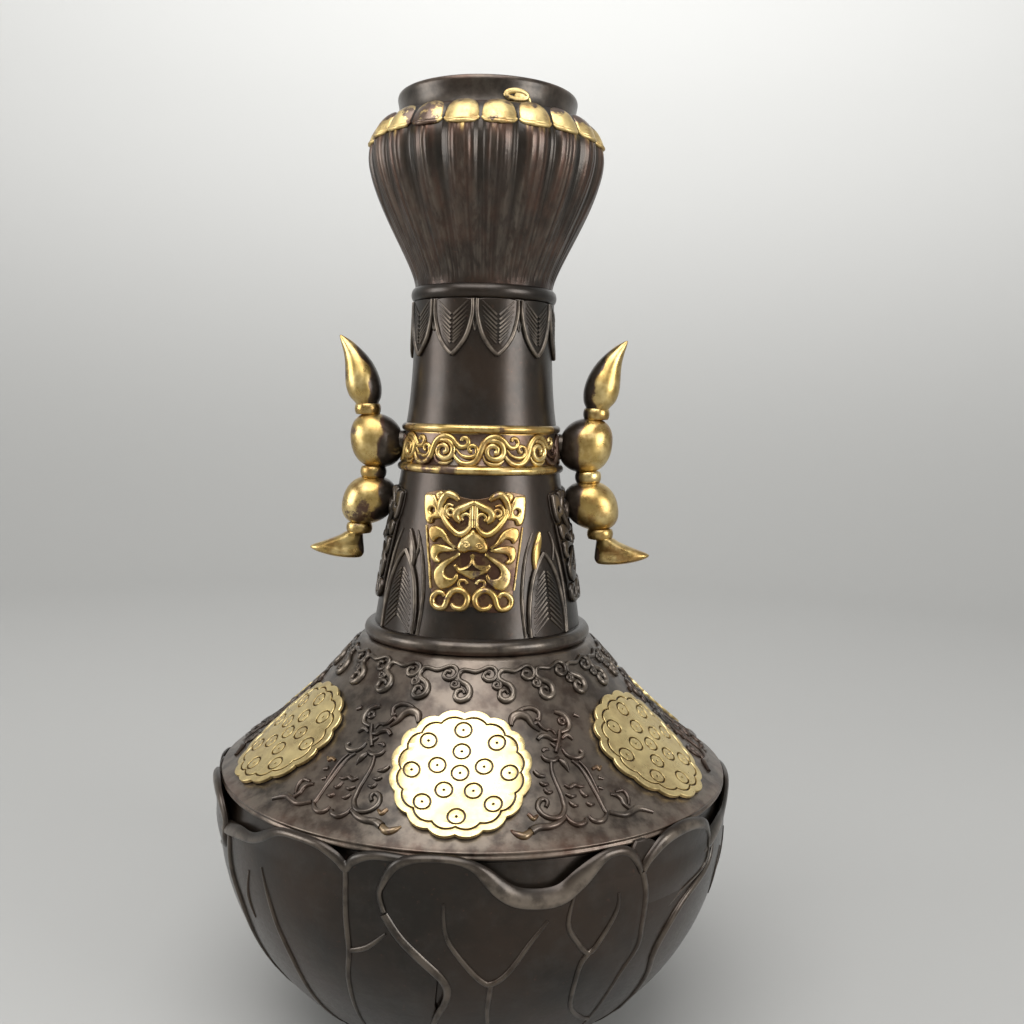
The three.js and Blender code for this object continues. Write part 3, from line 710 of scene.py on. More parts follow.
underLeaf = {
    "outline": [
        (-42, 80), (-32, 79), (-24, 76.4), (-17, 75), (-9, 77), (-3, 78), (2, 79.8), (7, 82), (12, 82.4),
        (17, 81.9), (21, 80.2), (23, 78.8), (24.8, 80.4), (29, 82), (34, 81.8), (40, 80.5), (42, 70),
        (40, 40), (37, 8.4), (-38, 8.4), (-42, 40),
    ],
    "lip": [
        (-19.5, 74.6, 0.9), (-17, 74.5, 1.6), (-9, 76.4, 1.3), (-3, 77.3, 0.9), (2, 79.1, 0.7),
        (7, 81.4, 0.6), (12, 81.9, 0.6), (17, 81.4, 0.6), (21, 79.7, 0.6), (23, 78.3, 0.55),
        (24.8, 79.9, 0.55), (29, 81.5, 0.6), (35, 81.3, 0.55), (40, 80, 0.45),
    ],
    "veins": [
        [(1, 71, 0.3), (3, 61, 0.55), (4, 55, 0.6), (6, 44, 0.65), (6, 31.6, 0.6), (5, 20, 0.5), (3, 9, 0.3)],
        [(-4, 67.5, 0.3), (-6, 59, 0.5), (-5, 52, 0.3)],
        [(23, 78, 0.6), (23, 66, 0.65), (23, 55, 0.65), (21.6, 46, 0.6), (20, 30, 0.5), (18, 12, 0.3)],
        [(23, 55, 0.6), (27, 57.2, 0.6), (31, 62.3, 0.3)],
    ],
    "folds": [      # the first is on two of the leaves, the second on the third
        [(-14, 75, 0.5), (-14, 71.5, 0.8), (-14, 63, 0.9), (-11.4, 54, 0.9), (-11, 45, 0.8), (-12, 30, 0.6),
         (-13, 10, 0.4)],
        [(-12.4, 73.8, 0.6), (-15, 67.4, 1.0), (-25.4, 60.4, 1.0), (-30.7, 48.2, 1.0), (-28.5, 36, 0.8),
         (-26, 10, 0.5)],
    ],
}

overPlaces = [onBowl(dip) for dip in around(3, bowl["firstDip"])]
lobePlaces = [onBowl(dip, 1.4) for dip in around(3, bowl["firstDip"])]
underPlaces = [onBowl(dip) for dip in around(3, bowl["firstDip"] - 60)]


def inMillimetres(points):
    return [(spot[0] * bowl["degree"], *spot[1:]) for spot in points]


def leafBlade(leaf, thick, edge, cell):
    return plateMesh([smoothLine(inMillimetres(leaf["outline"]), True, 5)], thick, edge, cell)


reliefPiece("lotusLeaves", [
    motif(leafBlade(underLeaf, 1.6, 0.5, 3.2), underPlaces, -1.2, wear=0),
    motif(leafBlade(overLeaf, 1.8, 0.6, 3.2), overPlaces, -0.4, wear=0),
    motif(leafBlade(leafLobe, 1.9, 0.9, 2.6), lobePlaces, -0.4, wear=0),
], darkBronze, "dark_bronze", crease=60)


# section of a turned-over lip: offset in half widths towards the leaf, lift in millimetres
lipSection = [
    (-1.0, -0.7), (-0.8, 0.05), (-0.2, 0.7), (0.4, 1.05), (0.8, 1.0), (1.0, 0.55), (0.9, -0.1), (0.6, -1.0),
    (-0.6, -1.2),
]


def leafStrokes(lines):
    strokes = [{"line": smoothLine(inMillimetres(line), False), "closed": False} for line in lines]
    return strokeMesh(scaled(strokes, bold=1.35), sides=3)


def leafSweep(line):
    spots = [(across, height, max(1.0, half * 1.2)) for across, height, half in inMillimetres(line)]
    return sweepMesh(spots, lipSection)


reliefPiece("leafLips", [
    motif(leafSweep(overLeaf["lip"]), overPlaces, 0.35, wear=0.8),
    motif(leafStrokes(overLeaf["edges"]), overPlaces, 0.3, 0.7),
    motif(leafSweep(leafLobe["lip"]), lobePlaces, 0.2, wear=0.8),
    motif(leafSweep(underLeaf["lip"]), underPlaces, -0.5, wear=0.7),
], darkBronze, "dark_bronze")
reliefPiece("leafVeins", [
    motif(leafStrokes(overLeaf["veins"]), overPlaces, 0.45, 0.85, wear=0.4),
    motif(leafStrokes(underLeaf["veins"]), underPlaces, -0.45, 0.85, wear=0.4),
    motif(leafStrokes([underLeaf["folds"][0]]), underPlaces[::2], -0.45, 0.8, wear=0.4),
    motif(leafStrokes([underLeaf["folds"][1]]), underPlaces[1:2], -0.45, 0.8, wear=0.4),
], darkBronze, "dark_bronze")


print("shoulder")

shoulder = {
    "start": (38, level["collar"]),
    "pull": (56.4, 103.0),
    "end": (82.2, 86.4),
    "spigot": bowl["socket"] - spigot["room"],
    "wall": 76.3,
    "hole": 30.5,               # for the neck's spigot
    "pendants": 22,
    "pendantStart": 13.0,       # azimuth
    "pendantDown": 4.9,         # millimetres down the slope
    "brackets": 6,
}
shoulderLine = SurfaceLine(bend([shoulder["start"], shoulder["pull"], shoulder["end"]], 60))
shoulderLength = shoulderLine.lengths[-1]

shoulderFoot = level["seam"] - spigot["depth"]
shoulderOutline = [
    (shoulder["wall"], shoulderFoot), (shoulder["spigot"], shoulderFoot), (shoulder["spigot"], level["seam"]),
    (81.9, level["seam"]), (82.35, 84.15), (82.55, 84.5), (82.45, 84.9),
    (82.15, 85.15), (82.1, 85.5), (82.35, 85.75), (82.5, 86.05), (82.4, 86.3),
]
for step in range(61):
    shoulderOutline.append(shoulderLine.at(shoulderLength * (1 - step / 60))[:2])
shoulderOutline += [
    (shoulder["hole"], level["collar"]), (shoulder["hole"], 121.5), (44, 108.5), (55, 99.7), (66, 92),
    (shoulder["wall"], 85),
]


def rubShoulder(azimuth, radius, height):
    return {"tint": 0.1 + 0.45 * easeStep(79, 82, radius), "wear": mix(0.45, 0.65, easeStep(60, 80, radius))}


turnedPiece(
    "shoulderCone", shoulderOutline, warmBronze, "warm_bronze", ["shoulder"],
    steps=216, shape=rubShoulder, crease=60,
)

# one hanging cloud scroll and the line that runs on into the next one's ring
pendantStrokes = [
    stroke([
        (2.1, 6.3), (1.3, 5.2), (-0.2, 5.7), (-0.5, 7.6), (1, 8.7), (3, 7.8), (3.6, 5.7), (2.7, 3.8),
        (0.9, 2.7), (-0.2, 1.6), (-0.1, 0), (0.9, -1.1), (2.5, -1.1), (4.6, -0.7), (6.3, -1.3), (8.4, -2.3),
        (10.2, -1.7), (11, 0), (10.2, 1.7), (8.4, 2), (7.1, 0.8), (7.7, -0.5), (9.1, -0.3),
    ], [0.45, 0.7, 0.85, 0.8, 0.65, 0.6, 0.55, 0.6, 0.6, 0.5]),
    spiral(-1.1, 3.6, 1.5, 1.6, -90, 0.5),
]
pendantPlaces = [
    layOn(shoulderLine, azimuth, shoulder["pendantDown"])
    for azimuth in around(shoulder["pendants"], shoulder["pendantStart"])
]
reliefPiece("cloudPendants", [
    motif(strokeMesh(scaled(pendantStrokes, bold=1.25), sides=3), pendantPlaces, 0.1, 1.25, wear=0.8),
], darkBronze, "dark_bronze")

# bracket of stems and small leaves between the medallions: across from its azimuth, down the slope
bracketLines = [
    ([(-13.7, 21.5), (-12.3, 18.9), (-9.8, 18.2), (-8, 19.6), (-7.3, 21.9), (-5.6, 23.9)],
     [0.5, 1.0, 1.05, 0.7, 0.4]),
    ([(-11.4, 17.8), (-8.7, 16.5), (-5.7, 16.4), (-3.9, 18.2), (-4.9, 20.3), (-5.7, 19.8)],
     [0.4, 0.6, 0.65, 0.5]),
    ([(-7.3, 21.9), (-5.6, 21.1), (-4.5, 23), (-3.1, 24)], [0.4, 0.55, 0.35]),
    ([(0.8, 18.3), (2.4, 18.9), (3.9, 20.2), (4.5, 22.6), (3.3, 24.5), (0.6, 25.1)], [0.5, 0.75, 0.75, 0.5]),
    ([(7.2, 20.1), (8.9, 21.1)], [0.55, 0.4]),
    ([(-3.5, 23.6), (-2, 23.9), (-1.2, 25.5)], [0.4]),
    ([(0.5, 24.5), (-0.8, 27.2), (-2, 29.1), (-3.4, 31.2)], [0.45, 0.6, 0.5]),
    ([(-7.4, 26.6), (-5.8, 25.5), (-3.8, 25.9), (-2.7, 27.1), (-1, 27.2)], [0.5, 0.7, 0.4]),
    ([(0.2, 27.1), (2.3, 26.2), (3.8, 27.9)], [0.4, 0.65, 0.4]),
    ([(-3.8, 28), (-2.7, 29.4), (-1, 29.2)], [0.35, 0.5, 0.35]),
    ([(-7.9, 31.7), (-7.3, 33.1), (-5.2, 33.7), (-3.1, 32.9)], [0.45, 0.7, 0.45]),
    ([(-7.3, 30.5), (-6.4, 29.8), (-4.9, 29.9)], [0.35, 0.5, 0.3]),
    ([(-0.9, 30.5), (-0.2, 32.6), (1.7, 33.7), (3.8, 33.7), (5, 32.7), (4.3, 31.6)], [0.4, 0.65, 0.7, 0.5]),
    ([(-3.2, 33.6), (-2.2, 35.2), (-1.8, 37.9)], [0.5, 0.8, 0.15]),
    ([(-5.9, 33.9), (-6.9, 37), (-7.1, 40.3), (-7.1, 43.9), (-7.5, 46.7), (-8.1, 49), (-10.2, 51.2),
      (-12.8, 51.5), (-14.8, 50.2), (-15.4, 47.8), (-14.1, 45.7), (-12.6, 45.3), (-12, 46.4), (-13.1, 47.8)],
     [0.45, 0.55, 0.65, 0.6, 0.45]),
    ([(0.5, 34.4), (2.1, 36.7), (3, 40.2), (3.3, 43.5), (3.6, 47.3), (3.6, 51), (3.8, 52.3)],
     [0.4, 0.55, 0.5]),
    ([(2.8, 35), (4.1, 37.9), (4.5, 42.1), (4.5, 45.9)], [0.35, 0.45, 0.3]),
    ([(-12, 36.3), (-11.3, 37.8), (-9.4, 38.2)], [0.5, 0.6, 0.3]),
    ([(-11.6, 40), (-11, 40.8), (-9.4, 40.7)], [0.45, 0.55, 0.3]),
    ([(-11.2, 42.2), (-10.8, 43.4), (-9.2, 43.2)], [0.45, 0.55, 0.3]),
    ([(-4.9, 41.6), (-3.8, 42.6), (-2, 42), (-0.7, 42.8), (0.7, 42.9)], [0.4, 0.55, 0.35]),
    ([(-5.8, 44.4), (-4.6, 45.4), (-2.9, 45.4)], [0.4, 0.55, 0.3]),
    ([(-0.9, 44), (-0.4, 45.8), (0.9, 45.8)], [0.4, 0.55, 0.3]),
    ([(-5.7, 47), (-5.1, 48.3), (-3.7, 48.5)], [0.4, 0.55, 0.3]),
    ([(-0.7, 48), (-0.1, 48.9), (1.4, 48.8)], [0.4, 0.55, 0.3]),
    ([(-8.6, 51), (-8.1, 53.1), (-6.4, 54.4), (-3.9, 53.9), (-3.4, 52.8)], [0.4, 0.65, 0.65, 0.4]),
    ([(-1.9, 52.2), (-1.5, 53.8), (0.6, 54.5), (2.6, 53.7), (3.8, 52.3)], [0.4, 0.65, 0.65, 0.4]),
    ([(-20.2, 54.9), (-17.8, 53.9), (-14.6, 53.9), (-11.8, 53.2), (-9.3, 51.7)], [0.85, 0.75, 0.6]),
    ([(4.7, 52.3), (7.1, 53.5), (9.4, 54.2), (12, 53.8), (14.2, 53.3), (16.3, 54), (19.3, 55.7)],
     [0.5, 0.7, 0.8, 0.5]),
    ([(8, 47), (9.8, 47.8), (10.8, 49.3), (10.8, 51), (12, 52.9)], [0.4, 0.6, 0.5]),
    ([(10, 46.6), (12.8, 46.8), (13.4, 49.1), (12.2, 51.7)], [0.4, 0.6, 0.4]),
    ([(6.5, 41.1), (8, 41.8)], [0.5, 0.35]),
    ([(5, 44.1), (6.4, 44.8)], [0.5, 0.35]),
]
bracketTips = [
    ([(-25.4, 54.2), (-24.2, 55.6), (-22.5, 56.2), (-20.2, 54.9)], [0.3, 1.0, 1.1, 0.85]),
    ([(-18.8, 49.5), (-18.4, 50.3), (-18, 51.1), (-16.4, 50.1)], [0.6, 0.8, 0.4]),
    ([(5.9, 38.2), (7.8, 37.8), (8.2, 38.7), (9.3, 37.9)], [0.5, 0.7, 0.4]),
]
bracketStrokes = [stroke(*line) for line in bracketLines] + [ring(2.4, 21.6, 0.95, 0.45)]
bracketMesh = strokeMesh(scaled(bracketStrokes, bold=1.35), sides=3)
tipMesh = strokeMesh([stroke(*line) for line in bracketTips], sides=3)
bracketPlaces = [
    layOn(shoulderLine, azimuth, 0, (1, -1)[number % 2])
    for number, azimuth in enumerate(around(shoulder["brackets"], 30))
]
reliefPiece("lotusBrackets", [
    motif(bracketMesh, bracketPlaces, 0.05, 1.15, wear=0.8, tint=0.2),
    motif(tipMesh, bracketPlaces, 0.1, gilt=0.27, wear=0.6),
], warmBronze, "warm_bronze")


print("medallions")

medallion = {
    "radius": 20.2,
    "lobes": 16,
    "lobeDepth": 1.1,
    "lineIn": 2.7,          # engraved line inside the scalloped edge
    "line": 0.55,           # width of the engraved lines
    "seed": 2.35,           # radius of an engraved ring
    "seedRings": [(1, 0, 0), (5, 6.8, -90), (8, 13.6, -90)],
    "face": 1.6,            # lift of the face
    "floor": 0.75,          # and of the engraving's floor
    "foot": 0.3,            # how far the face's plates reach below that floor
    "dot": 0.4,             # radius of the dot in each ring
    "down": 37.2,           # its middle, down the slope
    "cell": 2.2,
}


def scallop(radius):
    points = []
    for step in range(medallion["lobes"] * 8):
        angle = math.tau * step / (medallion["lobes"] * 8)
        reach = radius - medallion["lobeDepth"] * (1 - abs(math.sin(medallion["lobes"] * angle / 2)) ** 0.8)
        points.append((reach * math.cos(angle), reach * math.sin(angle)))
    return points


innerEdge = medallion["radius"] - medallion["lineIn"]
borderOutlines = [scallop(medallion["radius"]), scallop(innerEdge + medallion["line"])]
faceOutlines = [scallop(innerEdge)]
seedOutlines = []
for count, reach, start in medallion["seedRings"]:
    for azimuth in around(count, start):
        angle = math.radians(azimuth)
        across, down = reach * math.cos(angle), reach * math.sin(angle)
        faceOutlines.append(circle(across, down, medallion["seed"] + medallion["line"] / 2))
        seedOutlines.append(circle(across, down, medallion["seed"] - medallion["line"] / 2))
        seedOutlines.append(circle(across, down, medallion["dot"], 8))
thick = medallion["face"] - medallion["floor"] + medallion["foot"]
topMeshes = [
    plateMesh(faceOutlines, thick, 0.1, medallion["cell"]),
    plateMesh(borderOutlines, thick, 0.2, medallion["cell"]),
    plateMesh(seedOutlines, thick, 0.1, medallion["cell"]),
]
floorMesh = plateMesh([scallop(medallion["radius"] - 0.7)], 0.7, 0.1, medallion["cell"])
for number, azimuth in enumerate(around(6), 1):
    places = [layOn(shoulderLine, azimuth, medallion["down"])]
    motifs = [motif(mesh, places, medallion["face"] - thick / 2, gilt=1) for mesh in topMeshes]
    motifs.append(motif(floorMesh, places, medallion["floor"] - 0.35, gilt=0.1, wear=0))
    reliefPiece(f"medallion{number}", motifs, brightGilding, "gilding", [f"medallion_{number}"], crease=30)


print("lower neck")

lowerNeck = {"bore": 28, "foot": 33.9, "top": 26, "socket": 22.7}


def rubBead(azimuth, radius, height):
    return {"wear": 0.4 * easeStep(36, 37.2, radius), "tint": 0.7 * easeStep(130.5, 128, height)}


def ringBead(inner, foot, outer, bottom, top):
    return [(inner, bottom)] + halfRound(foot, outer, bottom, top, 14) + [(inner, top)]


neckFootOutline = ringBead(shoulder["hole"], lowerNeck["foot"], 37.2, level["collar"], level["neckFoot"])
turnedPiece(
    "neckFootMoulding", neckFootOutline, warmBronze, "warm_bronze", ["neck_foot_moulding"],
    shape=rubBead, crease=60,
)

lowerNeckLine = SurfaceLine([(lowerNeck["top"], level["bandFoot"]), (lowerNeck["foot"], level["neckFoot"])])
lowerNeckOutline = [
    (lowerNeck["bore"], level["collar"] - spigot["depth"]),
    (shoulder["hole"] - spigot["room"], level["collar"] - spigot["depth"]),
    (shoulder["hole"] - spigot["room"], level["neckFoot"]), (lowerNeck["foot"], level["neckFoot"]),
    (lowerNeck["top"], level["bandFoot"]), (lowerNeck["socket"], level["bandFoot"]),
    (lowerNeck["socket"], level["bandFoot"] - spigot["depth"]), (lowerNeck["bore"], level["neckFoot"] + 3),
]
turnedPiece("lowerNeck", lowerNeckOutline, warmBronze, "dark_bronze", ["lower_neck"], steps=128)

# scroll mask: right half, across from its middle and down from the band
maskPlates = [
    [(9.2, 5.8), (10.5, 5.2), (11.9, 6), (11.6, 7.3), (10.6, 8.7), (9.8, 7.3)],
    [(9.5, 13.4), (10.5, 11.3), (11.2, 8.6), (12.3, 6.7), (13.9, 6.3), (15.6, 6.5), (16, 8.3), (15.8, 11.4),
     (15.3, 14.2), (14.3, 15.5), (13, 15.2), (12.4, 13.9)],
    [(4.9, 22.3), (6.5, 20.7), (7.9, 18.3), (9.4, 16.8), (11.9, 15.9), (13.7, 16.6), (14, 18.4), (13.3, 20.2),
     (12.2, 21), (11.3, 19.9), (9.6, 19.5), (8.2, 20.7), (6.4, 22)],
    [(4.9, 22.9), (7.4, 22), (10.2, 21.5), (12.4, 21.8), (13.1, 23.3), (13, 25.4), (11.9, 27), (10.6, 27.2),
     (9.9, 26.5), (10.8, 25.5), (10.3, 24.4), (9, 23.9), (6.6, 23.5)],
    [(3.6, 23.8), (5.4, 24.7), (8.2, 26.2), (9.9, 27.5), (11.5, 29.5), (11.7, 31.7), (10.7, 34.1),
     (8.7, 35.1), (6.3, 34.1), (4.5, 32.4), (4, 30.7), (4.7, 30), (5.9, 31.5), (7.6, 31.2), (8.5, 29.9),
     (7.9, 28.3), (6.4, 27), (4.4, 25.1)],
]
maskLines = [
    ([(0, 8.4), (1.7, 9.3), (3.4, 10.2), (4.8, 11), (5.4, 12.4), (4.8, 13.8), (3.9, 14.3)],
     [0.8, 1.1, 1.1, 0.7]),
    ([(1.2, 15.9), (1, 14.4), (1.1, 12.7), (2.3, 11.9), (3.3, 12.3), (3.7, 13.3), (3.1, 13.9)],
     [0.45, 0.5, 0.4]),
    ([(0.65, 8.7), (0.7, 12), (0.6, 16)], [0.6, 0.65, 0.6]),
    ([(0.9, 15.6), (2.3, 17.4), (4.1, 18.2), (5.8, 17.4), (7.8, 15.4), (9.5, 13), (10.2, 10.4)],
     [0.6, 0.9, 0.9, 0.7]),
    ([(4.6, 7.8), (5.8, 6.7), (7.9, 6), (9.3, 7.2), (10.3, 9.2), (10.6, 11.3), (9.5, 13.7)],
     [0.6, 1.1, 1.1, 0.9, 0.5]),
    ([(6.3, 9.6), (7.9, 9.2), (8.9, 10.6), (8.8, 12.6), (7.6, 13.6)], [0.35, 0.5, 0.35]),
    ([(1.3, 33.1), (2, 32.1), (3.6, 32.2), (3.9, 33.5), (2.9, 34.5)], [0.45]),
    ([(5.9, 39.3), (5, 40.4), (3, 40.7), (1.5, 39.5), (1.1, 37.4), (2.2, 35.6), (4.3, 35), (6.1, 35.9),
      (7.2, 37.7), (7.7, 39.5), (8.6, 40.7), (10.3, 40.8), (11.8, 39.8), (12, 37.8), (10.7, 36.3),
      (8.9, 36.2), (8.2, 37.3)],
     [0.6, 0.85, 0.9, 0.85, 0.8, 0.85, 0.6]),
    ([(15.2, 16), (14.4, 22.7), (13.6, 28.8), (12.9, 35.1)], [0.3]),
    ([(6, 21.9), (8.6, 20.3), (10.6, 18), (12.5, 17.6)], [0.2, 0.3, 0.35]),
    ([(6.4, 23.1), (9.6, 22.7), (11.7, 23.4), (11.9, 25)], [0.2, 0.3, 0.35]),
    ([(5.6, 25.6), (8.4, 27.4), (10.1, 29.8), (9.6, 32.4)], [0.2, 0.3, 0.35]),
]
noseHalf = [(0, 16.4), (1.1, 17.5), (3.2, 19.2), (4.3, 20.7), (4.7, 22.3), (4, 23.5), (2.5, 23.9),
            (1.1, 23.4)]
chinHalf = [(0, 23.8), (0.5, 25.4), (1.1, 26.9), (2.4, 27.9), (3.9, 28.2), (5.1, 27), (4.9, 29.2),
            (3.7, 30.1), (2.1, 30.8), (0.3, 31.8)]
groundHalf = [(0, 7.4), (4.5, 6.6), (8, 5.2), (10.6, 4.9), (14, 5.6), (16.3, 6.6), (16.4, 12), (15, 16.4),
              (14.3, 21), (13.9, 27), (13.2, 33), (12.6, 37), (12.4, 40.4), (9, 41.7), (4, 41.5), (0, 40)]


def otherSide(points):
    return [(-across, down) for across, down in reversed(points)]


def bothSides(points):
    return smoothLine(points + otherSide([spot for spot in points if spot[0] > 0]), True, 3)


rightPlates = [smoothLine(outline, True, 4) for outline in maskPlates] + [circle(12.9, 11.3, 0.8, 12)]
platesMesh = plateMesh(rightPlates + [otherSide(outline) for outline in rightPlates], 1.9, 0.7, 1.6)
rightStrokes = [stroke(*line) for line in maskLines] + [ring(7.1, 11.6, 1.05, 0.5)]
maskMesh = strokeMesh(scaled(rightStrokes, 1, 1.2) + scaled(rightStrokes, -1, 1.2), sides=3)
nostrilMesh = strokeMesh([spiral(side * 1.9, 21.5, 1.1, 1.3, 90 - 90 * side, 0.34) for side in (-1, 1)])
noseMesh = plateMesh([bothSides(noseHalf)], 3.0, 1.2, 1.6)
chinMesh = plateMesh([bothSides(chinHalf)], 2.4, 0.9, 1.6)
groundMesh = plateMesh([bothSides(groundHalf)], 0.5, 0.15, 2)
for side, azimuth, gilt, metal, slotName in (
    ("Front", 0, 0.85, rubbedGilding, "gilding"),
    ("Right", 90, 0, darkBronze, "dark_bronze"),
    ("Back", 180, 0.85, rubbedGilding, "gilding"),
    ("Left", 270, 0, darkBronze, "dark_bronze"),
):
    places = [layOn(lowerNeckLine, azimuth, 0)]
    reliefPiece(f"maskPlaque{side}", [
        motif(maskMesh, places, 0.45, 1.25, gilt=gilt),
        motif(platesMesh, places, 0.65, gilt=gilt),
        motif(noseMesh, places, 0.4, gilt=gilt),
        motif(chinMesh, places, 0.3, gilt=gilt),
        motif(nostrilMesh, places, 1.85, gilt=gilt),
        motif(groundMesh, places, 0.15, gilt=0.3 * gilt, wear=0),
    ], metal, slotName, [f"mask_plaque_{side.lower()}"])


leafFlank = [(1, 0), (0.99, 0.28), (0.74, 0.64), (0.36, 0.87), (0, 1)]        # in half widths and heights


def leafStrips(half, tall, pitch, slant, rim):
    # a bold outline open at the top and a feathered leaf inside it, its veins sloping down to the midrib
    strips = []
    veins = int(tall * 0.74 / pitch)
    for side in (1, -1):
        flank = [(-side * half * wide, tall * down) for wide, down in leafFlank]
        strips.append(stroke(flank, [rim * 0.8, rim, rim, rim]))
    for number in range(veins):
        down = 0.6 + pitch * number
        reach = 0.78 * half * (1 - (down / tall / 0.9) ** 2.4)
        for side in (-1, 1):
            vein = [(side * reach, down), (side * 0.45, down + slant * reach / half)]
            strips.append(stroke(vein, [0.28, 0.5]))
    return strokeMesh(strips, sides=3)


def leafPlate(half, tall):
    edge = [(-half, 0), (-half * 0.98, tall * 0.3), (-half * 0.68, tall * 0.68), (0, tall)]
    return plateMesh([smoothLine(edge + otherSide(edge[:-1]), True, 4)], 1.2, 0.4, 2)


upright = {"leaves": 4, "start": 45, "half": 7.5, "tall": 25.5, "foot": 132.6}


def standing(azimuth):      # a leaf drawn from its foot, which points up the neck
    place = layOn(lowerNeckLine, azimuth, lowerNeckLine.down(upright["foot"]))
    return lambda across, down, lift: place(across, -down, lift)


uprightPlaces = [standing(azimuth) for azimuth in around(upright["leaves"], upright["start"])]
backLeaf = [
    stroke([(-9.2, 0), (-9.3, 12), (-7, 24), (-3.6, 32)], [0.6, 0.75, 0.4]),
    stroke([(9.2, 0), (9.3, 12), (7, 24), (3.6, 32)], [0.6, 0.75, 0.4]),
    stroke([(3.6, 32), (5.2, 28), (4.4, 23)], [0.4, 0.7, 0.4]),
]
# curling bud beside each mask; only the one at the front right keeps its gold
budOutline = [(21.7, 17.5), (20.1, 20.5), (19.1, 24.2), (19.3, 27.5), (20.1, 30), (21, 27.7), (22, 23.7),
              (22.5, 20.1)]
budMesh = plateMesh([smoothLine(budOutline, True, 3)], 1.8, 0.7, 2)
budEdge = strokeMesh([stroke([(20.2, 30.1), (19.6, 33.7), (18.5, 37.6), (18.2, 41.2)], [0.4, 0.45, 0.3])])
budPlaces = [layOn(lowerNeckLine, azimuth, 0, side) for azimuth in (0, 180) for side in (1, -1)]
uprightStrips = leafStrips(upright["half"], upright["tall"], 1.7, 6, 0.75)
reliefPiece("uprightLeaves", [
    motif(uprightStrips, uprightPlaces, 0.45, 1.1, wear=0.8),
    motif(strokeMesh(backLeaf), uprightPlaces, wear=0.7),
    motif(leafPlate(upright["half"], upright["tall"]), uprightPlaces, -0.1, wear=0),
    motif(budMesh, budPlaces[:1], 0.2, gilt=1),
    motif(budEdge, budPlaces[:1], gilt=0.8),
    motif(budMesh, budPlaces[1:], 0.2, wear=0.7),
    motif(budEdge, budPlaces[1:]),
], rubbedGilding, "gilding")


print("gilt band")

band = {
    "bead": 2.7,            # height of each bead
    "lowerBead": (25.4, 27.2),
    "upperBead": (23.9, 25.9),
    "waves": 10,
    "start": 12.6,
    "middle": 8.1,
}
bandLine = SurfaceLine([(24.2, level["bandTop"]), (25.7, level["bandFoot"])])
lowerBeadTop = level["bandFoot"] + band["bead"]
upperBeadFoot = level["bandTop"] - band["bead"]
bandOutline = [(lowerNeck["socket"], level["bandFoot"])]
bandOutline += halfRound(*band["lowerBead"], level["bandFoot"], lowerBeadTop, 12)
bandOutline += [(25.4, lowerBeadTop + 0.3), (24.6, upperBeadFoot - 0.3)]
bandOutline += halfRound(*band["upperBead"], upperBeadFoot, level["bandTop"], 12)
bandOutline.append((lowerNeck["socket"], level["bandTop"]))


def atHandle(azimuth):      # 1 where a handle stands, and the leaf stops short of it
    return easeStep(28, 20, abs(abs(azimuth) - 90))


def giltBeads(azimuth, radius, height):
    onBead = height < 184.7 or height > 194.3
    leaf = (1 if onBead and radius > 24 else 0.22) * (1 - atHandle(azimuth))
    bare = easeStep(8, 4.5, abs(azimuth + 18)) if height < 185 else 0
    return {"gilt": leaf * (1 - 0.75 * bare), "wear": 0.3}


turnedPiece(
    "giltBand", bandOutline, rubbedGilding, "gilding", ["gilt_band"], steps=144, shape=giltBeads, crease=60,
)

# one wave, measured from the middle of its large volute
waveStrokes = [
    stroke([
        (-12.7, 0.2), (-12, 1.9), (-10.4, 3.5), (-8.2, 4), (-6, 3.3), (-4.6, 1.6), (-3.8, -0.6), (-2.9, -2.6),
        (-1.3, -4.1), (0.8, -4.5), (2.8, -3.6), (4.1, -2.1), (5.4, -1.2), (7, -1.4), (7.8, -2.6), (7.2, -3.9),
        (6, -4), (5.6, -3.1),
    ], [0.3, 0.65, 0.8, 0.85, 0.8, 0.7, 0.6, 0.55, 0.5]),
    stroke([(-11.6, -0.5), (-10.3, 1.1), (-8.6, 1.8), (-6.8, 1.8), (-5.4, 0.9), (-5.3, -0.9), (-6.4, -1.7),
            (-7.6, -1.1), (-7.4, 0), (-6.6, 0.1)], [0.25, 0.5, 0.55, 0.5, 0.45]),
    stroke([(-3.1, -0.9), (-2.2, -2.7), (-0.3, -3.3), (2, -2.6), (3.1, -0.5), (2.5, 1.6), (0.6, 2.5),
            (-1.3, 2), (-2.2, 0.5), (-1.7, -1.1), (-0.2, -1.7), (1.1, -0.9), (1, 0.3), (0, 0.5)],
           [0.3, 0.7, 0.75, 0.7, 0.65, 0.6]),
    stroke([(-3.4, 1.4), (-2.6, 3.1), (-0.6, 4), (1.6, 3.8), (3, 2.8)], [0.25, 0.5, 0.25]),
]
waveMesh = strokeMesh(scaled(waveStrokes, bold=1.3), sides=3)
wavePlaces = []
handleWaves = []
for azimuth in around(band["waves"], band["start"]):
    near = atHandle((azimuth + 180) % 360 - 180) > 0.5
    (handleWaves if near else wavePlaces).append(layOn(bandLine, azimuth, band["middle"]))
reliefPiece("waveScroll", [
    motif(waveMesh, wavePlaces, 0.1, 1.1, gilt=1),
    motif(waveMesh, handleWaves, 0.1, 1.1, gilt=0.2),
], rubbedGilding, "gilding")


print("upper neck")

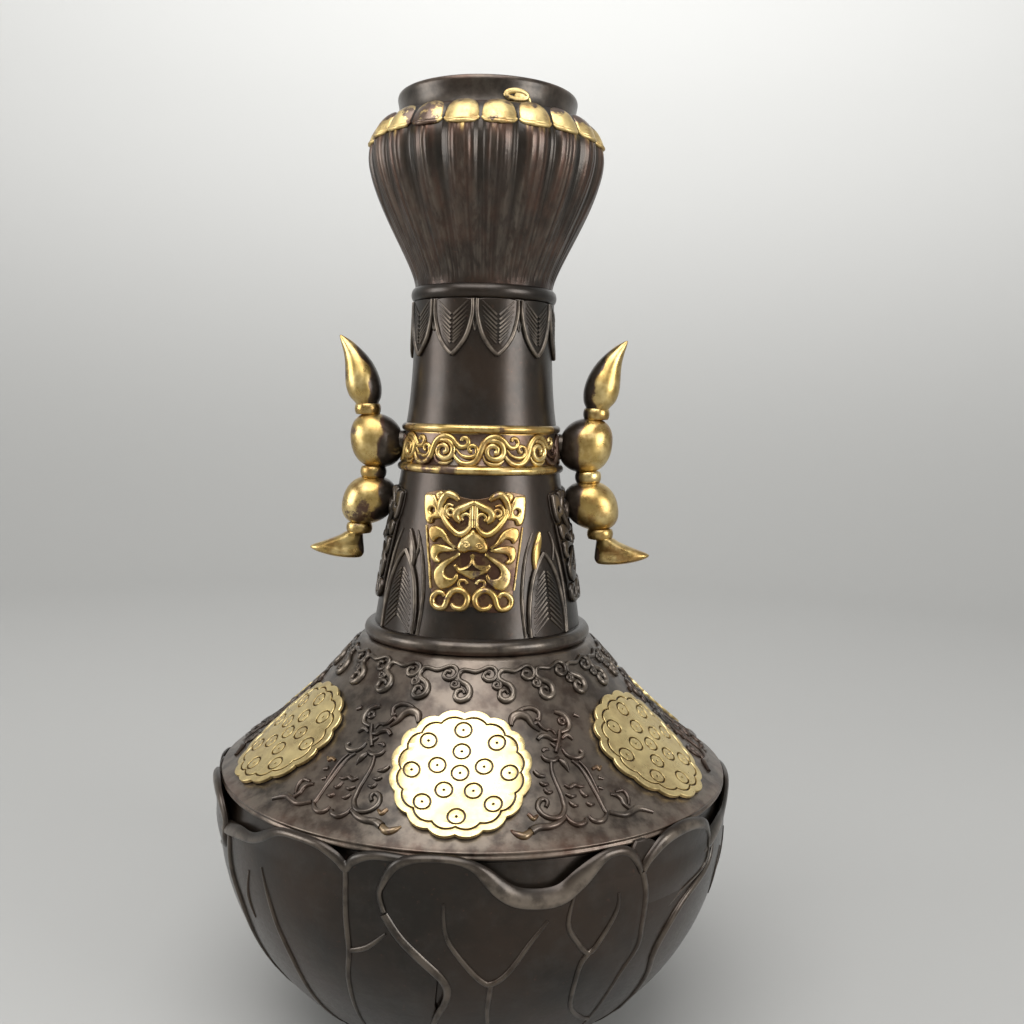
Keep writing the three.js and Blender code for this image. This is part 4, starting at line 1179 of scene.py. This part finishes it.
upperNeck = {
    "foot": 24.5,
    "top": 22.3,
    "socket": 20.6,
    "leaves": 10,
    "start": 14.7,
    "half": 6.3,
    "tall": 16.9,
    "down": 0.2,
}
upperNeckCurve = bend([
    (upperNeck["foot"], level["bandTop"]), (upperNeck["top"], 210.03), (upperNeck["top"], level["neckTop"]),
], 24)
upperNeckLine = SurfaceLine(upperNeckCurve[::-1])
bandSpigot = lowerNeck["socket"] - spigot["room"]
socketFloor = level["neckTop"] - spigot["depth"] - spigot["room"]
upperNeckOutline = [
    (neckBore, level["bandFoot"] - spigot["depth"]), (bandSpigot, level["bandFoot"] - spigot["depth"]),
    (bandSpigot, level["bandTop"]), *upperNeckCurve, (upperNeck["socket"], level["neckTop"]),
    (upperNeck["socket"], socketFloor), (neckBore, socketFloor),
]
turnedPiece("upperNeck", upperNeckOutline, darkBronze, "dark_bronze", ["upper_neck"], steps=128)

leafAzimuths = around(upperNeck["leaves"], upperNeck["start"])
hangingPlaces = [layOn(upperNeckLine, azimuth, upperNeck["down"]) for azimuth in leafAzimuths]
backPlaces = [
    layOn(upperNeckLine, azimuth + 180 / upperNeck["leaves"], upperNeck["down"]) for azimuth in leafAzimuths
]
backTips = [stroke([(-1.3, 0), (-0.9, 5), (0, 9.5), (0.9, 5), (1.3, 0)], [0.4, 0.35])]
hangingStrips = leafStrips(upperNeck["half"], upperNeck["tall"], 1.5, 5.4, 0.7)
reliefPiece("hangingLeaves", [
    motif(hangingStrips, hangingPlaces, 0.4, 1.15, wear=0.8),
    motif(leafPlate(upperNeck["half"], upperNeck["tall"]), hangingPlaces, -0.1, wear=0),
    motif(strokeMesh(backTips), backPlaces, times=0.9, wear=0.4),
], darkBronze, "dark_bronze")

neckTopOutline = ringBead(upperNeck["socket"], 21.9, 23.5, level["neckTop"], level["headFoot"])
turnedPiece(
    "neckTopMoulding", neckTopOutline, darkBronze, "dark_bronze", ["neck_top_moulding"], steps=128, crease=60,
)


print("garlic head")

head = {
    "petals": 20,
    "groove": 1.7,
    "lines": 0.32,          # depth of the fine lines on the petals
    "lineTurn": 34,         # more gives finer lines
    "widest": 280.3,
    "radius": 37.7,
    "footRadius": 22.2,
    "topRadius": 29.2,
    "hole": 27.6,           # for the mouth's spigot
}
headCurve = bend([
    (head["footRadius"], level["headFoot"]), (23, 248.3),
    (head["radius"], 268.3), (head["radius"], head["widest"]),
], 34)
for step in range(1, 15):
    angle = math.pi / 2 * step / 14
    across = mix(head["topRadius"], head["radius"], math.cos(angle))
    headCurve.append((across, mix(head["widest"], level["mouth"], math.sin(angle))))
headLine = SurfaceLine(headCurve[::-1])
headSpigot = upperNeck["socket"] - spigot["room"]
headOutline = [
    (neckBore, level["neckTop"] - spigot["depth"]), (headSpigot, level["neckTop"] - spigot["depth"]),
    (headSpigot, level["headFoot"]), *headCurve, (head["hole"], level["mouth"]),
    (head["hole"], level["mouth"] - spigot["depth"]), (33.2, head["widest"]), (28.3, 269), (23.4, 257.6),
    (neckBore, 246.3),
]
outerRadii = sorted((height, radius) for radius, height in headCurve)


def headRadius(height):
    number = min(max(bisect.bisect_left(outerRadii, (height, 0)), 1), len(outerRadii) - 1)
    (z0, r0), (z1, r1) = outerRadii[number - 1], outerRadii[number]
    return mix(r0, r1, (height - z0) / (z1 - z0))


def grooveAt(azimuth, radius):
    valley = 0.5 + 0.5 * math.cos(math.radians(azimuth * head["petals"]))
    swell = (radius - head["footRadius"]) / (head["radius"] - head["footRadius"])
    return head["groove"] * max(0.15, swell) ** 1.3 * valley ** 1.8


def flute(azimuth, radius, height):
    if height < level["headFoot"] - 0.01 or radius < headRadius(height) - 0.3 or radius < 22:
        return {}       # spigot and bore
    groove = grooveAt(azimuth, radius) * easeStep(292, 290.5, height)
    turn = math.radians(azimuth)
    spot = Vector((math.sin(turn) * head["lineTurn"], math.cos(turn) * head["lineTurn"], height * 0.025))
    wave = min(1, max(0, 0.5 + 0.95 * noise.noise(spot)))
    shown = easeStep(287, 285, height) * easeStep(240.5, 244, height)
    bare = easeStep(0.5, 1.2, groove)
    return {
        "place": onAxis(azimuth, radius - groove - head["lines"] * (1 - wave) * shown, height),
        "gilt": 0.55 * easeStep(278, 285, height) * wave * easeStep(291, 287, height) * (1 - bare),
        "wear": mix(0.4 * wave * shown, 0.05, bare),
        "tint": 0.5 * (1 - bare) * (1 - 0.5 * wave),
    }


turnedPiece(
    "garlicHead", headOutline, streakedBronze, "warm_bronze", ["garlic_head"],
    steps=900, shape=flute, crease=70,
)


def onPetal(azimuth, start):
    flat = layOn(headLine, azimuth, start)

    def place(across, down, lift):
        radius = headLine.at(start + down)[0]
        return flat(across, down, lift - grooveAt(azimuth + math.degrees(across / radius), radius))
    return place


def tipLeaf(across, down):      # leaf is thin at the inner end
    return 0.36 + 0.54 * easeStep(-5, 1, down)


tipHalf = [(0, -5.9), (2.9, -5.7), (4.2, -4.4), (4.9, -1.8), (5.2, 0.8), (4.6, 2.5), (2.4, 3.3), (0, 3.5)]
tipEdge = [(-5.3, 1.7), (-4.2, 3), (-2.2, 3.7), (0, 3.9), (2.2, 3.7), (4.2, 3), (5.3, 1.7)]
tipEdgeMesh = strokeMesh([stroke(tipEdge, [0.35, 0.6, 0.65, 0.6, 0.35])])
tipPlaces = [onPetal(azimuth, 8) for azimuth in around(head["petals"], 180 / head["petals"])]
reliefPiece("petalTips", [
    motif(plateMesh([bothSides(tipHalf)], 1.2, 0.5, 1.2), tipPlaces, -0.15, gilt=tipLeaf),
    motif(tipEdgeMesh, tipPlaces, 0.1, gilt=0.85),
], dullGilding, "gilding")


print("mouth")

mouth = {"bore": 25.6, "foot": 28.5, "radius": 28.6, "spigot": head["hole"] - spigot["room"], "depth": 4}
mouthOutline = [
    (mouth["bore"], level["mouth"] - mouth["depth"]), (mouth["spigot"], level["mouth"] - mouth["depth"]),
    (mouth["spigot"], level["mouth"]), (mouth["foot"], level["mouth"]),
    (28.3, 293), (28.1, 295.5), (28.4, 297.5),
]
mouthOutline += bend([(mouth["radius"], 298.4), (mouth["radius"], level["top"]), (27.6, level["top"])], 6)
mouthOutline += bend([(26.2, level["top"]), (mouth["bore"], level["top"]), (mouth["bore"], 299.2)], 5)


def rubAndSheenMouth(azimuth, radius, height):
    edge = easeStep(298.6, level["top"], height)
    # painted sheen: the whole outer wall takes some of the worn colour, lightening it like a satin reflection;
    # the top edge's share is rubbing
    paintedSheenOutside = easeStep(27, 28, radius)
    return {"wear": 0.25 * paintedSheenOutside + 0.25 * edge, "tint": 0.6 * easeStep(298, level["top"], height)}


turnedPiece(
    "mouthRim", mouthOutline, darkBronze, "dark_bronze", ["mouth_rim"], steps=144, shape=rubAndSheenMouth, crease=50,
)
mouthLine = SurfaceLine([(mouth["foot"], 299), (28.3, level["mouth"])])
curlMesh = strokeMesh([ring(0, 0, 3.3, 0.8, 0.38), stroke([(2.2, -0.9), (3.8, 0.6), (4.4, 2.2)], [0.6, 0.5])])
curlFill = plateMesh([circle(0.9, 0.3, 1.7, 16)], 0.8, 0.3, 2)
curlPlaces = [layOn(mouthLine, 20.8, 4.6)]
reliefPiece("mouthCurl", [
    motif(curlMesh, curlPlaces, 0.1, 0.8, gilt=0.7),
    motif(curlFill, curlPlaces, gilt=0.6),
], dullGilding, "gilding")


print("handles")

handle = {
    "beads": [      # bottom, top, reach at each, how much fuller than round on the neck's side
        (163.2, 179.4, 39.3, 36.1, 1.26),
        (182, 200, 34.3, 36.1, 1.22),
    ],
    "beadHalf": 7.8,
    "fullness": 2.3,
    "collars": [(160.6, 163.4, 39.9), (179.2, 182.2, 35.4), (199.8, 202.8, 37.5)],
    "collar": 3.4,          # radius of its ends
    "collarRound": 0.9,     # and how far its middle stands out
    "spine": 36.2,          # reach of the beads' middle
    "hornSpine": 43,
    "hornTop": 160,
    "finialFoot": 203,
}
boss = {"height": 191, "radius": 3.5, "inner": 25.2, "outer": 30}
# rows of the horn and the finial: height, inner reach, outer reach, half depth
hornRows = [
    (152.0, 39.8, 45.6, 1.9), (152.3, 39.1, 48.4, 2.8), (152.9, 38.6, 51.3, 3.5), (153.8, 38.3, 54.3, 3.8),
    (155, 38.3, 56.3, 3.6), (156, 38.4, 55.3, 3.4), (157, 38.5, 52.5, 3.6), (158.3, 38.6, 49, 3.8),
    (159.6, 38.7, 46, 3.7), (160.8, 38.6, 44, 3.4),
]
finialRows = [
    (202.4, 34.6, 40.8, 3.2), (203.6, 33.9, 42, 4.4), (205.4, 33.2, 43.6, 5.4), (208.5, 33.1, 44.7, 5.9),
    (212, 33.9, 45, 5.5), (215.6, 35.6, 45.1, 4.6), (218.4, 37.6, 45.4, 3.7), (221, 40.2, 46, 2.7),
    (223.4, 43.2, 46.7, 1.4), (225, 46.1, 47, 0.4),
]


def loft(work, rows, columns=40):
    # closed skin through level ellipses, each (height, inner reach, outer reach, half depth)
    rows = smoothLine(rows, False, 3)
    count = len(rows) - 1
    made = bmesh.ops.create_grid(work, x_segments=columns, y_segments=count, size=1)["verts"]
    for spot in made:
        turn = math.tau * (spot.co.x + 1) / 2
        row = round((spot.co.y + 1) / 2 * count)
        height, inner, outer, half = rows[row]
        spot.co = Vector((
            mix(inner, outer, 0.5) + (outer - inner) / 2 * math.sin(turn), half * math.cos(turn), height,
        )) * millimetre
    bmesh.ops.remove_doubles(work, verts=made, dist=1e-6)


def roundEnds(rows, bottom, top):
    # adds a closing point below and above
    ends = []
    for (height, inner, outer, half), shift in ((rows[0], -bottom), (rows[-1], top)):
        ends.append((height + shift, mix(inner, outer, 0.5), mix(inner, outer, 0.5), 0))
    return ends[:1] + rows + ends[1:]


def beadRows(bottom, top, reachBelow, reachAbove, inward):
    rows = []
    for step in range(13):
        place = math.cos(math.pi * (1 - step / 12))
        share = (place + 1) / 2
        half = handle["beadHalf"] * (1 - abs(place) ** handle["fullness"]) ** (1 / handle["fullness"])
        reach = mix(reachBelow, reachAbove, share)
        rows.append((mix(bottom, top, share), reach - half * inward, reach + half, half))
    return rows


def collarRows(bottom, top, reach):
    rows = []
    for step in range(9):
        place = step / 4 - 1
        half = handle["collar"] + handle["collarRound"] * math.sqrt(max(0, 1 - place * place))
        rows.append((mix(bottom - 0.4, top + 0.4, (place + 1) / 2), reach - half, reach + half, half))
    return rows


def outwardShare(reach, height):        # 0 on the handle's spine, 1 on its outer side
    if height > handle["finialFoot"]:
        return (reach - mix(38.8, 45, easeStep(210, 225, height))) / 5.5
    spine = handle["spine"] if height > handle["hornTop"] else handle["hornSpine"]
    return (reach - spine) / handle["beadHalf"]


def handlePiece(name, side, node):
    work = bmesh.new()
    giltLayer, wearAndSheenLayer, tintLayer = newLayers(work)
    for bead in handle["beads"]:
        loft(work, beadRows(*bead))
    loft(work, roundEnds(hornRows, 0.2, 0.1))
    loft(work, roundEnds(finialRows, 0.1, 0.1))
    shaped = len(work.verts)
    for collar in handle["collars"]:
        loft(work, roundEnds(collarRows(*collar), 0.05, 0.05))
    middle = Vector((mix(boss["inner"], boss["outer"], 0.5), 0, boss["height"])) * millimetre
    radius = boss["radius"] * millimetre
    bmesh.ops.create_cone(
        work, cap_ends=True, segments=32, radius1=radius, radius2=radius,
        depth=(boss["outer"] - boss["inner"]) * millimetre,
        matrix=Matrix.Translation(middle) @ Matrix.Rotation(math.pi / 2, 4, "Y"),
    )
    work.verts.ensure_lookup_table()
    for number, spot in enumerate(work.verts):
        outward = outwardShare(spot.co.x / millimetre, spot.co.z / millimetre)
        share = easeStep(-0.6, -0.2, outward + 0.35 * noise.noise(spot.co * 190))
        spot[giltLayer] = share if number < shaped else 0.85 * share
        spot[wearAndSheenLayer] = 0.3
        spot.co.x *= side
        spot.co.y *= side
    return finishPiece(work, name, rubbedGilding, "gilding", [node], 60)


handlePiece("handleRight", 1, "handle_right")
handlePiece("handleLeft", -1, "handle_left")


print("floor and hand-over")

wallReach = studio["floorReach"] + studio["curve"]
backdropLine = [(0, 0), (studio["floorReach"], 0)]
for step in range(1, 25):
    angle = math.pi / 2 * step / 24
    reach = mix(studio["floorReach"], wallReach, math.sin(angle))
    backdropLine.append((reach, studio["curve"] * (1 - math.cos(angle))))
backdropLine.append((wallReach, studio["wallTop"]))
backdropWork, layers = spun([(0, -reach, height) for reach, height in backdropLine], 128, False)
bmesh.ops.recalc_face_normals(backdropWork, faces=backdropWork.faces)
backdropMesh = bpy.data.meshes.new("backdrop")
backdropWork.to_mesh(backdropMesh)
backdropWork.free()
backdropMesh.shade_smooth()
backdropMesh.materials.append(backdropPaintedGradient())
backdrop = bpy.data.objects.new("backdrop", backdropMesh)
bpy.context.scene.collection.objects.link(backdrop)
